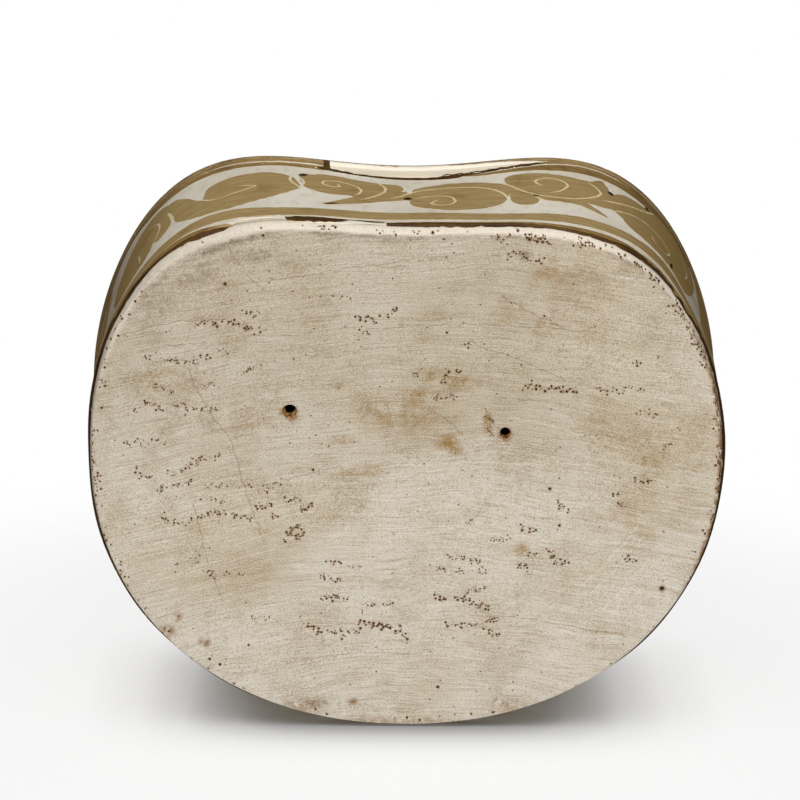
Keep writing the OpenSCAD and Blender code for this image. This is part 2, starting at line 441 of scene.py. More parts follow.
def ramp(tree, value, low, high, to_low=0.0, to_high=1.0):
    ends = {"Value": value, "From Min": low, "From Max": high, "To Min": to_low, "To Max": to_high}
    return wire(tree, "ShaderNodeMapRange", ends, interpolation_type="SMOOTHSTEP").outputs[0]


def cloud(tree, place, scale, detail=4.0, rough=0.55):
    ends = {"Vector": place, "Scale": scale, "Detail": detail, "Roughness": rough}
    return wire(tree, "ShaderNodeTexNoise", ends).outputs[0]


def streaks(tree, place, scale, detail, rough, turn=0.0):
    """A cloud drawn out by a scale for each axis."""
    ends = {"Vector": place, "Scale": scale, "Rotation": (0.0, 0.0, turn)}
    return cloud(tree, wire(tree, "ShaderNodeMapping", ends).outputs[0], 1.0, detail, rough)


def object_place(tree):
    return wire(tree, "ShaderNodeTexCoord").outputs["Object"]


def split(tree, place):
    return wire(tree, "ShaderNodeSeparateXYZ", {0: place}).outputs


def layered(tree, colour, *coats):
    """The colour under coats: a mask, where it starts and is full, its greatest share, a colour."""
    for mask, low, high, most, shade in coats:
        colour = mix(tree, ramp(tree, mask, low, high, 0, most), colour, srgb(*shade))
    return colour


def marked(tree, colour, *marks):
    """The colour under marks that the mesh carries: an attribute, its strength, a colour."""
    for name, strength, shade in marks:
        carried = wire(tree, "ShaderNodeAttribute", attribute_name=name).outputs["Fac"]
        colour = mix(tree, times(tree, carried, strength, True), colour, srgb(*shade))
    return colour


def material(name):
    made = bpy.data.materials.new(name)
    made.use_nodes = True
    tree = made.node_tree
    return made, tree, tree.nodes["Principled BSDF"]


def group(name, result, **inputs):
    """A node group with these inputs and one result, and the sockets that its inputs come from."""
    tree = bpy.data.node_groups.new(name, "ShaderNodeTree")
    for label, kind in inputs.items():
        tree.interface.new_socket(label, in_out="INPUT", socket_type="NodeSocket" + kind)
    label, kind = result
    tree.interface.new_socket(label, in_out="OUTPUT", socket_type="NodeSocket" + kind)
    return tree, tree.nodes.new("NodeGroupInput").outputs


def end_shade_group():
    """How much painted shade darkens the front of the pillow's two ends, in streaks."""
    tree, given = group("painted shade at the ends", ("Share", "Float"), Place="Vector")
    axes = split(tree, given["Place"])
    # Horizontal streaks in the painted shade at the ends.
    shade_streaks = streaks(tree, given["Place"], (30, 30, 190), 4, 0.6)
    end = ramp(tree, sums(tree, "ABSOLUTE", axes["X"]), 0.09, 0.138)
    ahead = ramp(tree, axes["Y"], 0.05, -0.02)
    under = ramp(tree, axes["Z"], 0.118, 0.1)
    most = times(tree, times(tree, end, ahead), under)
    share = times(tree, most, ramp(tree, shade_streaks, 0.35, 0.65, 0.66, 0.92))
    wire(tree, "NodeGroupOutput", {"Share": share})
    return tree


def brushed_group():
    """Slip brushed on along the wall, streaked where the brush ran dry, with painted shade towards the right
    end.
    """
    tree, given = group("brushed slip", ("Colour", "Color"), Sheet="Vector", Place="Vector",
                        Thin="Color", Full="Color", Deep="Color")
    sheet, thin, deep = given["Sheet"], given["Thin"], given["Deep"]
    brush = streaks(tree, sheet, (0.35, 7.0, 1.0), 5, 0.65)
    fine = streaks(tree, sheet, (1.2, 26.0, 1.0), 4, 0.65)
    colour = mix(tree, ramp(tree, brush, 0.36, 0.66), thin, given["Full"])
    colour = mix(tree, ramp(tree, cloud(tree, sheet, 0.7), 0.5, 0.75, 0, 0.7), colour, deep)
    colour = mix(tree, ramp(tree, fine, 0.5, 0.68, 0, 0.7), colour, thin)
    colour = mix(tree, ramp(tree, fine, 0.48, 0.33, 0, 0.75), colour, deep)
    # Painted shade: the slip darkens towards the pillow's right end.
    right = split(tree, given["Place"])["X"]
    colour = mix(tree, ramp(tree, right, 0.07, 0.115, 0, 0.4), colour, deep)
    wire(tree, "NodeGroupOutput", {"Colour": colour})
    return tree


# The painted shade at the ends and the brushed slip, each built once.
END_SHADE = end_shade_group()
BRUSHED = brushed_group()


def glazed(tree, surface, place, colour, end_shade_or_solidify, shine=1.0):
    """Clear glaze over a colour, with painted shade towards the pillow's two ends, which shines least where
    it is seen edge on.
    """
    share = wire(tree, "ShaderNodeGroup", {"Place": place}, node_tree=END_SHADE).outputs[0]
    edge_on = wire(tree, "ShaderNodeLayerWeight").outputs["Facing"]
    # The base colour takes painted shade at the ends, in the colour given.
    feed(tree, surface, {
        "Base Color": mix(tree, share, colour, end_shade_or_solidify),
        "Specular IOR Level": ramp(tree, edge_on, 0.3, 0.68, 0.45 * shine, 0.0),
        "Coat Weight": ramp(tree, edge_on, 0.3, 0.68, 0.5 * shine, 0.0),
        "Roughness": 0.4, "Coat Roughness": 0.1})


def sweep(tree, place):
    """The place along and across the arcs in which the clay was wiped, a little unsteady."""
    from_elbow = arrows(tree, "SUBTRACT", place, (0.01, 0.46, 0.0))[0]
    reach = arrows(tree, "LENGTH", from_elbow)["Value"]
    parts = split(tree, from_elbow)
    swing = sums(tree, "ARCTAN2", parts["X"], times(tree, parts["Y"], -1.0))
    ends = {0: times(tree, swing, 0.5), 1: reach, 2: parts["Z"]}
    arcs = wire(tree, "ShaderNodeCombineXYZ", ends).outputs[0]
    ends = {"Vector": place, "Scale": 12.0, "Detail": 3.0}
    warp = wire(tree, "ShaderNodeTexNoise", ends).outputs[1]
    return arrows(tree, "MULTIPLY_ADD", warp, (0.012, 0.02, 0.0), arcs)[0]


def bare_clay():
    """Buff stoneware, wiped smooth, with iron pits, ochre stains, grey patches, a pale edge and a painted
    shadow line under the front bevel.
    """
    made, tree, surface = material("bare clay")
    place = object_place(tree)
    axes = split(tree, place)
    bent = sweep(tree, place)
    drift = cloud(tree, place, 14, 3)
    grub = cloud(tree, place, 34, 6, 0.68)
    blotch = cloud(tree, place, 300, 4, 0.65)
    sand = cloud(tree, place, 1900, 2, 0.75)
    wiped = streaks(tree, bent, (14, 190, 30), 5, 0.7)
    hair = streaks(tree, bent, (42, 1900, 60), 3, 0.72)
    slant = streaks(tree, bent, (14, 900, 40), 3, 0.7, 0.17)
    comb = streaks(tree, bent, (20, 520, 40), 3, 0.7, -0.9)
    # The base colour is a little darker towards the front.
    colour = layered(
        tree, srgb(210, 199, 179), (axes["Y"], -0.09, 0.08, 1, (214, 205, 188)),
        (drift, 0.42, 0.64, 0.5, (192, 175, 146)), (wiped, 0.5, 0.7, 0.32, (174, 151, 114)),
        (wiped, 0.46, 0.3, 0.3, (224, 216, 202)))
    grubby = times(tree, ramp(tree, grub, 0.47, 0.63, 0, 0.45), ramp(tree, sand, 0.38, 0.6, 0.3, 1))
    colour = mix(tree, grubby, colour, srgb(156, 132, 96))
    colour = layered(
        tree, colour, (blotch, 0.54, 0.7, 0.3, (164, 142, 110)), (slant, 0.56, 0.72, 0.28, (164, 140, 102)))
    corner = times(tree, ramp(tree, axes["X"], 0.05, 0.09), ramp(tree, axes["Y"], -0.01, 0.03))
    combed = times(tree, corner, ramp(tree, comb, 0.5, 0.66, 0, 0.6))
    colour = mix(tree, combed, colour, srgb(226, 219, 206))
    colour = layered(
        tree, colour, (hair, 0.53, 0.68, 0.64, (154, 130, 94)), (hair, 0.47, 0.33, 0.72, (230, 223, 210)),
        (sand, 0.54, 0.7, 0.85, (146, 122, 90)), (sand, 0.46, 0.31, 0.7, (232, 225, 213)))
    flecks = sums(tree, "ADD", ramp(tree, sand, 0.42, 0.58, 0, 0.5), ramp(tree, wiped, 0.4, 0.6, 0, 0.5))
    flecks = sums(tree, "ADD", flecks, ramp(tree, blotch, 0.4, 0.6, 0, 0.4))
    flecks = times(tree, flecks, ramp(tree, grub, 0.42, 0.56, 0.3, 1.25))
    # The grey mark attribute holds grey patches and a painted shadow line under the front bevel.
    colour = marked(tree, colour, ("stain", flecks, (158, 124, 70)), ("grey_marks", flecks, (146, 129, 108)))
    # The whole face is darker towards the front, less so near the right end.
    right = ramp(tree, axes["X"], 0.05, 0.085, 0, 0.75)
    lighter = sums(tree, "MAXIMUM", ramp(tree, axes["Y"], -0.035, 0.03), right)
    front_darkening = mix(tree, lighter, (0.85, 0.84, 0.825, 1.0), (0.965, 0.97, 0.975, 1.0))
    colour = mix(tree, 1.0, colour, front_darkening, "MULTIPLY")
    colour = marked(
        tree, colour, ("pale", ramp(tree, sand, 0.46, 0.68, 0.97, 0.6), (236, 225, 207)),
        ("scratch", 0.58, (128, 100, 66)), ("rust", ramp(tree, blotch, 0.36, 0.56), (136, 94, 48)))
    pit = wire(tree, "ShaderNodeAttribute", attribute_name="pit").outputs["Fac"]
    colour = layered(tree, colour, (pit, 0.0, 0.55, 0.6, (140, 102, 62)))
    core = layered(tree, srgb(44, 27, 15), (blotch, 0.4, 0.6, 1, (92, 60, 35)))
    colour = mix(tree, ramp(tree, pit, 0.5, 0.8), colour, core)
    relief = sums(tree, "ADD", times(tree, hair, 0.6), times(tree, sand, 0.4))
    bump = wire(tree, "ShaderNodeBump", {"Strength": 0.4, "Distance": 0.0004, "Height": relief})
    feed(tree, surface, {"Base Color": colour, "Roughness": 0.88, "Specular IOR Level": 0.2,
                         "Normal": bump.outputs[0]})
    return made


def white_glaze():
    """Cream slip under clear glaze. The mesh's line attribute is 1 on a brown painted line, -1 under
    the lip and -2 under the painted slip, where cuts bare a yellower ground."""
    made, tree, surface = material("white glaze")
    place = object_place(tree)
    line = wire(tree, "ShaderNodeAttribute", attribute_name="line").outputs["Fac"]
    edge = sums(tree, "ADD", line, times(tree, cloud(tree, place, 330, 3), 0.35))
    colour = layered(
        tree, srgb(233, 226, 210), (cloud(tree, place, 30), 0.35, 0.65, 1, (221, 212, 194)),
        (cloud(tree, place, 240, 3), 0.5, 0.75, 0.4, (190, 176, 150)), (edge, 0.55, 0.78, 1, (104, 80, 44)),
        (edge, 0.0, -0.6, 1, (229, 219, 198)), (edge, -0.9, -1.5, 1, (230, 211, 166)))
    # The second colour is the painted shade at the pillow's ends.
    glazed(tree, surface, place, colour, srgb(146, 133, 110))
    return made


def slip(name, thin, full, deep, shine=1.0):
    """Iron slip brushed on in three depths of one colour, under the glaze."""
    made, tree, surface = material(name)
    place = object_place(tree)
    sheet = wire(tree, "ShaderNodeUVMap", uv_map="sheet").outputs[0]
    ends = {"Sheet": sheet, "Place": place, "Thin": srgb(*thin), "Full": srgb(*full), "Deep": srgb(*deep)}
    colour = wire(tree, "ShaderNodeGroup", ends, node_tree=BRUSHED).outputs[0]
    # The deepest slip colour is also the painted shade at the pillow's ends.
    glazed(tree, surface, place, colour, srgb(*deep), shine)
    return made


def vent_clay():
    """Scorched clay inside the firing vents, with painted shade that takes it to near black further in."""
    made, tree, surface = material("vent clay")
    place = object_place(tree)
    # Painted shade: near black deeper in the vent.
    colour = layered(
        tree, srgb(70, 44, 22), (cloud(tree, place, 700), 0.38, 0.6, 1, (160, 120, 74)),
        (split(tree, place)["Z"], 0.0012, 0.0028, 1, (14, 10, 7)))
    feed(tree, surface, {"Base Color": colour, "Roughness": 0.95, "Specular IOR Level": 0.0})
    return made


def inner_clay():
    """Plain fired clay of the parts under the glaze."""
    made, tree, surface = material("inner clay")
    place = object_place(tree)
    colour = layered(
        tree, srgb(226, 213, 194), (cloud(tree, place, 60, 5), 0.35, 0.65, 1, (205, 188, 162)),
        (cloud(tree, place, 480, 3), 0.56, 0.7, 0.6, (160, 130, 92)))
    feed(tree, surface, {"Base Color": colour, "Roughness": 0.9})
    return made


CLAY = bare_clay()
WHITE = white_glaze()
BROWN = slip("brown slip", (180, 156, 110), (157, 131, 85), (134, 108, 64))
DARK = slip("dark slip", (92, 66, 35), (60, 40, 19), (34, 22, 11), 0.12)
AMBER = slip("amber slip", (166, 136, 84), (140, 110, 62), (100, 74, 38), 0.4)
OLIVE = slip("lip slip", (158, 132, 86), (132, 106, 62), (98, 74, 40), 0.5)
VENT = vent_clay()
INNER = inner_clay()

# The bare foot. Pits lie in rows where the wiping cloth dragged grit through the clay.
# Each row is the number of its pits, their size and the points of its line.
PIT_ROWS = [
    (34, 0.75, (-90.5, -60.5), (-80.5, -59.5), (-74.5, -60.5), (-68.5, -58.5), (-61.5, -56.5)),
    (10, 0.6, (-70, -66), (-66.5, -65), (-61.5, -64)),
    (9, 0.45, (-41, -71.5), (-32.5, -71.5), (-23.5, -71)),
    (26, 0.65, (-23, -63.5), (-18, -62.5), (-10.5, -62.5), (-4.5, -66.5)),
    (9, 0.5, (-21.5, -56), (-15.5, -56)),
    (34, 0.6, (-110.5, -46), (-98, -43), (-90.5, -44), (-86, -45.5), (-74.5, -48)),
    (9, 0.5, (-70, -38), (-67.5, -39), (-61.5, -42.5)),
    (14, 0.5, (-107, -34), (-103, -30.5), (-99.5, -30.5)), (10, 0.45, (-88, -32), (-80.5, -33.5)),
    (22, 0.55, (-115.5, -22.5), (-110, -24), (-103.5, -22.5)),
    (26, 0.55, (-99.5, -25), (-92.5, -23), (-86.5, -22), (-81.5, -23)),
    (16, 0.5, (-126, -9), (-120.5, -6.5), (-113, -7.5), (-101.5, -8)),
    (12, 0.5, (-95.5, 4), (-91, 2.5), (-80.5, -2)), (10, 0.9, (-41, -101), (-30, -101)),
    (8, 0.8, (-15, -100), (-5, -100)), (16, 0.85, (-1, -100), (5, -100.5), (10.5, -100), (15, -101)),
    (6, 0.6, (37, -97), (39.5, -96.5)), (28, 0.9, (49.5, -98.5), (54, -97), (58.5, -96)),
    (18, 0.65, (70, -96), (77.5, -94.5)),
    (22, 0.65, (42.5, -89), (46.5, -91.5), (50, -88.5), (56.5, -88.5)), (8, 0.5, (83, -94), (89, -93)),
    (28, 0.75, (95, -88.5), (103.5, -84)), (20, 0.65, (102.5, -79.5), (108.5, -76.5)),
    (14, 0.55, (109, -78), (114, -72)), (12, 0.6, (112.5, -72.5), (117, -66)),
    (26, 0.6, (120, -56), (124, -48.5), (126.5, -44)), (50, 0.5, (130, -38), (132.4, -24), (133.4, -16)),
    (44, 0.75, (49, -33.5), (54, -33), (60, -32), (65.5, -32), (71, -30.5)),
    (22, 0.55, (80.5, -32), (90.5, -31.5), (99.5, -33)), (12, 0.5, (98.5, -22), (107, -21)),
    (18, 0.6, (14.5, -34), (16.5, -38.5), (23, -40)), (18, 0.5, (10, -28), (20.5, -28.5)),
    (6, 0.5, (2, -38), (5, -39)), (6, 0.5, (23, -51.5), (26, -52.5)), (8, 0.55, (96, -44), (98.5, -43)),
    (7, 0.55, (108.5, -7), (113.5, -8.5)), (20, 0.5, (33.5, -22), (35.5, -17.5), (36, -11.5)),
    (12, 0.6, (-116, 4), (-115, 7.5), (-107.5, 8)),
    (26, 0.6, (-101, 6), (-98, 7), (-94, 4), (-88.5, 1.5)), (14, 0.5, (-92.5, 0), (-87, -1), (-80, -2)),
    (22, 0.5, (-107, 14.5), (-103.5, 12), (-98, 12), (-92.5, 10)),
    (16, 0.5, (-88.5, 12.5), (-83, 12), (-76.5, 11.5)),
    (16, 0.5, (-72.5, 13), (-67, 12.5), (-61.5, 14), (-53, 9)),
    (16, 0.5, (-91.5, 19), (-85, 18), (-80, 19.5), (-72.5, 20)),
    (24, 0.55, (-104, 25.5), (-100.5, 29), (-96.5, 29), (-93, 26.5)),
    (26, 0.65, (-89.5, 25.5), (-85.5, 25), (-81, 24)), (22, 0.55, (-78, 24), (-73.5, 25), (-67, 26)),
    (12, 0.6, (-64.5, 22), (-61.5, 21), (-56.5, 21.5)), (10, 0.7, (-58, 24.5), (-56, 24)),
    (28, 0.7, (-52, 18), (-50, 18), (-44.5, 21), (-41.5, 21)), (14, 0.6, (-50, 30), (-45.5, 30)),
    (24, 0.75, (-52.5, 35), (-50, 34.5), (-44.5, 34.5)),
    (10, 0.4, (-67.5, 72), (-63, 71.5), (-58.5, 72.5)),
    (16, 0.5, (-87, 51.5), (-85.5, 51), (-80, 52), (-77.5, 51)), (6, 0.5, (-73, 51), (-69.5, 51)),
    (12, 0.45, (-99.5, 47), (-91, 46.5), (-89, 43)), (14, 0.6, (-33, 46.5), (-30, 46), (-27.5, 47)),
    (7, 0.45, (-24.5, 48), (-17.5, 49)), (20, 0.6, (-37, 52.5), (-32.5, 52.5), (-28.5, 54)),
    (26, 0.65, (-37, 63.5), (-32.5, 61.5), (-25.5, 63.5)),
    (18, 0.55, (-19, 69), (-16.5, 65.5), (-6.5, 65)),
    (34, 0.7, (-42, 75.5), (-36, 78.5), (-23, 78.5), (-19.5, 77.5)),
    (44, 0.75, (-19.5, 73.5), (-10, 75), (-5.5, 76.5), (2, 81)), (10, 0.7, (-2, 78), (2, 81)),
    (14, 0.75, (13, 61.5), (15, 62), (18, 62)), (34, 0.7, (22.5, 62), (27, 63.5), (35, 67.5)),
    (12, 0.6, (35.5, 72.5), (39.5, 72)), (34, 0.6, (18.5, 74.5), (29.5, 75), (33.5, 75.5), (40.5, 79)),
    (22, 0.5, (17, 43.5), (24.5, 44), (32, 45.5)), (12, 0.6, (13, 49), (18, 49)),
    (16, 0.5, (22.5, 50), (35, 50.5)), (12, 0.65, (49.5, 47.5), (53.5, 48.5)),
    (8, 0.5, (52, 43), (56.5, 42)), (20, 0.6, (61.5, 40.5), (63.5, 43.5), (66, 45.5), (70, 45.5)),
    (8, 0.85, (47.5, 29.5), (49, 30.5), (50.5, 30)), (8, 0.65, (53, 29.5), (55, 32)),
    (16, 0.55, (64, 17.5), (66, 20), (69.5, 23)), (10, 0.6, (88.5, 15), (91.5, 15)),
    (10, 0.55, (90, 19), (94, 19.5)), (22, 0.6, (97.5, 9), (100.5, 9), (105, 9)),
    (10, 0.6, (95, 44), (99, 44.5)), (12, 0.4, (37.5, 35), (45, 35)), (8, 0.4, (25.5, 28), (28.5, 27)),
    (12, 0.45, (27, 58.5), (35, 57.5)), (90, 0.55, (134.3, -9), (134.6, 3.5), (134.2, 15), (132.8, 26)),
    (30, 0.5, (-134.3, -12), (-134.6, 0), (-134.2, 12)),
    (26, 0.5, (115, -66.5), (119.5, -58), (123.5, -50))]
# A single pit is a middle and a size.
SINGLE_PITS = [
    (-77, -77, 0.8), (57.5, -64, 0.5), (16.5, -56.5, 0.5), (61.5, 12.5, 0.7), (66, 29, 0.6),
    (14.5, 103.5, 0.7), (111, 57.5, 1.1), (112, 56, 0.9), (-40, 4.5, 0.6), (-68, 84.5, 0.5),
    (-85, 91, 0.6), (-80.5, 93.5, 0.6)]
PIT_CROWD = 1.7
LOOSE_PITS = 300
EDGE_PITS = 170
EDGE_STRETCHES = [(-60, 20), (150, 215), (-150, 170)]
# Scratches are a width and the points of a line.
DARK_SCRATCHES = [
    (0.5, (-94.5, -42.5), (-83.5, -20), (-75.5, -8.5), (-69, 13.5), (-61, 38)),
    (0.4, (-75.5, -92), (-70, -84.5), (-64, -76.5)), (0.4, (11, -22), (17.5, -17.5), (23.5, -12)),
    (0.35, (-3.5, -59.5), (31.5, -60), (66.5, -58.5)), (0.35, (26, -52.5), (46.5, -45), (67, -36)),
    (0.35, (48, -27.5), (63, -26), (79, -21.5)), (0.45, (-119.5, -55), (-97.5, -60.5), (-76, -62)),
    (0.4, (-113, -48), (-100.5, -50), (-86, -51.5)), (0.35, (-57, -78.5), (-29.5, -83.5), (0, -87.5)),
    (0.4, (-60.5, 11.5), (-44.5, 7), (-28.5, 3)), (0.35, (33.5, 69), (63, 73.5), (95.5, 79)),
    (0.4, (40, -72), (66.5, -58.5), (78, -58.5)), (0.35, (-43.5, 91), (-17.5, 87.5), (2, 88.5)),
    (0.35, (-91, 20), (-86, 44), (-80, 62))]
PALE_SCRATCHES = [
    (0.7, (61.5, -0.5), (74, 2), (88, 5)), (0.8, (75.5, 57), (87, 44.5), (100.5, 27.5)),
    (0.6, (80, 53.5), (89, 43.5), (97.5, 34)), (0.7, (84.5, 68.5), (95, 56), (105.5, 43)),
    (0.6, (-3, 2), (29, 0.5), (61.5, 1.5)), (0.6, (-2.5, 32.5), (29.5, 32.5), (57.5, 34)),
    (0.6, (78, 62), (90, 49), (104, 31)), (0.6, (44, -20), (62, -16), (84, -9))]
# Stains and grey patches are a middle, half lengths and strength each.
OCHRE_STAINS = [
    (-3, -22, 26, 11, 0.6), (17, -8, 6, 4, 1), (21, -4.5, 4, 2, 0.8), (-27, -9.5, 7, 3, 0.9),
    (-3, -31.5, 5, 2, 0.9), (4, -29, 8, 2, 0.7), (8, -38, 9, 3, 0.7), (22, -34.5, 9, 4, 0.8),
    (-29, -33, 5, 2.5, 0.6), (34.5, -17.5, 2, 6, 1), (-96, -35.5, 26, 7, 0.35), (55, -63, 22, 9, 0.45),
    (-85, -60, 62, 40, 0.1), (94, -4, 56, 28, 0.2), (86, -19, 14, 5, 0.3), (102, 22, 34, 26, 0.26),
    (74, -75, 26, 22, 0.26), (-70, 40, 50, 40, 0.1), (-80, -22, 50, 24, 0.2), (88, 84, 14, 12, 0.3),
    (66, -84, 18, 8, 0.45), (-82, 29.5, 18, 6, 0.35), (-60, -62, 30, 5, 0.35), (100, 2, 16, 8, 0.4),
    (-20, 5, 12, 3, 0.5), (-18, 20, 5, 4, 0.6), (50, 40, 5, 4, 0.6)]
# Grey patches near the bevel and the back edge.
GREY_PATCHES = [
    (-92, -83.5, 12, 9, 0.5), (-106, -65.5, 8, 14, 0.45), (85.5, -82, 24, 9, 0.2),
    (108.5, -60.5, 10, 14, 0.22), (48.5, -90, 4, 3, 0.8), (-39, 111, 8, 2.5, 0.8), (-60, -88, 20, 4, 0.4),
    (63.5, 104, 9, 2.5, 0.6)]
# Chips are a middle, a size and a depth; burns are a middle and half lengths.
RUST_CHIPS = [
    (-99, 71.5, 2.6, 0.5), (-103, 78.5, 4, 0.7), (-22.5, 110.5, 2.6, 0.6), (-87, 83.5, 3, 0.4),
    (41, 109, 2.4, 0.5), (34.5, -17.5, 2.2, 0.2)]
BACK_BURNS = [(-46, 113, 14, 5), (-4, 119.5, 30, 2.5), (46, 112, 12, 4)]
# Vents are a middle, the radius of the mouth and of the bore, and how far the bore leans.
VENTS = [(-50.0, -21.5, 3.1, 2.0, (0.1, -1.0)), (42.0, -12.5, 2.4, 1.9, (-0.1, -0.35))]
VENT_NECK = (0.78, 1.1)
VENT_BORE_FROM = 2.4
VENT_SIDES = 26
DEEPEST_INSET = 12.0
PIT_DEPTH = 0.75
GROOVE_DEPTH = 0.2
SWELL = 0.08
FOOT_RING_STEP = 0.75
FOOT_GAP = 1.7
BEVEL_SHARES = (0.3, 0.65, 1.0, 1.5)
BEVEL_WEAR = 0.25
SCRATCH_WAVER = 1.0
PIT_WAVER = 2.0


def foot_inset(flat):
    """How far inside the foot's outer line each point lies, up to the deepest, and its angle."""
    x, y = flat.T
    ahead = y < 0
    y = y - np.where(ahead, dip_at(x, FOOT_DIP), 0.0)
    power = np.where(ahead, np.where(x < 0, *FOOT_FULL), BACK_FULL)
    depth = np.where(ahead, FOOT_FRONT, FOOT_BACK)
    low, high = np.zeros(len(flat)), np.full(len(flat), DEEPEST_INSET)
    for _ in range(18):
        half = (low + high) / 2
        over = (np.abs(x) / (FOOT_W / 2 - half)) ** power + (np.abs(y) / (depth - half)) ** power > 1
        high, low = np.where(over, half, high), np.where(over, low, half)
    return (low + high) / 2, np.arctan2(y, x)


def spot(flat, x, y, wide, tall):
    """1 in the middle of an oval spot, fading to 0 at its edge."""
    return 1 - smooth(np.hypot((flat[:, 0] - x) / wide, (flat[:, 1] - y) / tall), 0.25, 1.25)


def foot_pits():
    """Middle and radius of every pit, none closer to another than their edges allow."""
    wanted = list(SINGLE_PITS)
    for number, size, *points in PIT_ROWS:
        line = noisy(curve(points, False, 0.3), PIT_WAVER)
        for _ in range(round(PIT_CROWD * number)):
            x, y = line[dice.randrange(len(line))]
            x, y = x + dice.gauss(0, 0.55), y + dice.gauss(0, 0.65)
            wanted.append((x, y, size * dice.uniform(0.25, 0.85)))
    for _ in range(LOOSE_PITS):
        wanted.append((dice.uniform(-125, 125), dice.uniform(-100, 115), dice.uniform(0.16, 0.34)))
    for _ in range(EDGE_PITS):
        angle = math.radians(dice.choice([dice.uniform(*stretch) for stretch in EDGE_STRETCHES]))
        x, y = foot_line(np.array([angle]), -dice.uniform(0.6, 4.5))[0]
        wanted.append((x, y, dice.uniform(0.2, 0.55)))
    pits = []
    for x, y, size in wanted:
        clear = all(math.hypot(x - a, y - b) > 1.02 * (size + s) for a, b, s in pits)
        dry = all(math.hypot(x - v[0], y - v[1]) > v[2] + size + 0.6 for v in VENTS)
        if clear and dry:
            pits.append((x, y, size))
    inset, _ = foot_inset(np.array([p[:2] for p in pits]))
    return [p for p, i in zip(pits, inset) if i > p[2] + 0.35]


def ring(x, y, radius, number, rough=0.0):
    turns = np.arange(number) * 2 * np.pi / number + dice.random()
    reach = radius * np.array([1 + dice.uniform(-rough, rough) for _ in turns])
    return np.column_stack([x + reach * np.cos(turns), y + reach * np.sin(turns)])


def groove_depth(flat, lines):
    """1 on these lines and 0 beside them."""
    depth = np.zeros(len(flat))
    for line in lines:
        lo, hi = line.min(0) - 1, line.max(0) + 1
        near = np.nonzero(((flat > lo) & (flat < hi)).all(1))[0]
        away = np.hypot(*(flat[near, None] - line[None]).transpose(2, 0, 1)).min(1)
        depth[near] = np.maximum(depth[near], 1 - smooth(away, 0.02, 0.16))
    return depth


def foot_face(pits, scratches):
    """The foot's flat mesh with its bevel, vents, pits and scratches as edges, and their outlines."""
    angles = np.radians(np.arange(0, 360, FOOT_RING_STEP))
    rings = [foot_line(angles)]
    for share in BEVEL_SHARES:
        wear = [noise.noise(Vector((math.cos(a) * 9, math.sin(a) * 9, share))) for a in angles]
        insets = bevel_at(angles) * share + BEVEL_WEAR * np.array(wear)
        rings.append(np.array([foot_line(np.array([a]), -i)[0] for a, i in zip(angles, insets)]))
    mouths = [ring(x, y, radius, VENT_SIDES, 0.07) for x, y, radius, *_ in VENTS]
    pit_rings = [ring(x, y, size * 0.9, 7, 0.32) for x, y, size in pits]
    widths = [s[0] for s in DARK_SCRATCHES + PALE_SCRATCHES]
    grooves = [ribbon(line, width) for line, width in zip(scratches, widths)]
    loose = [ring(x, y, size * share, number, 0.15)
             for share, number in ((0.5, 5), (1.8, 6)) for x, y, size in pits]
    loose += [ring(v[0], v[1], v[2] + more, VENT_SIDES) for v in VENTS for more in (0.8, 1.8)]
    even = lattice((-FOOT_W / 2, -FOOT_FRONT), (FOOT_W / 2, FOOT_BACK), FOOT_GAP)
    inset, angle = foot_inset(even)
    even = even[inset > BEVEL_SHARES[-1] * bevel_at(angle) + 0.5]
    for x, y, size in [*pits, *[v[:3] for v in VENTS]]:
        even = even[np.hypot(even[:, 0] - x, even[:, 1] - y) > size + 0.4]
    outlines = [*rings, *mouths, *pit_rings, *grooves]
    flat, faces = triangles(outlines, np.concatenate([even, *loose, *scratches]))
    middle = flat[faces].mean(1)
    keep = inside(middle, rings[0])
    for mouth in mouths:
        keep &= ~inside(middle, mouth)
    return flat, faces[keep], rings[0], mouths


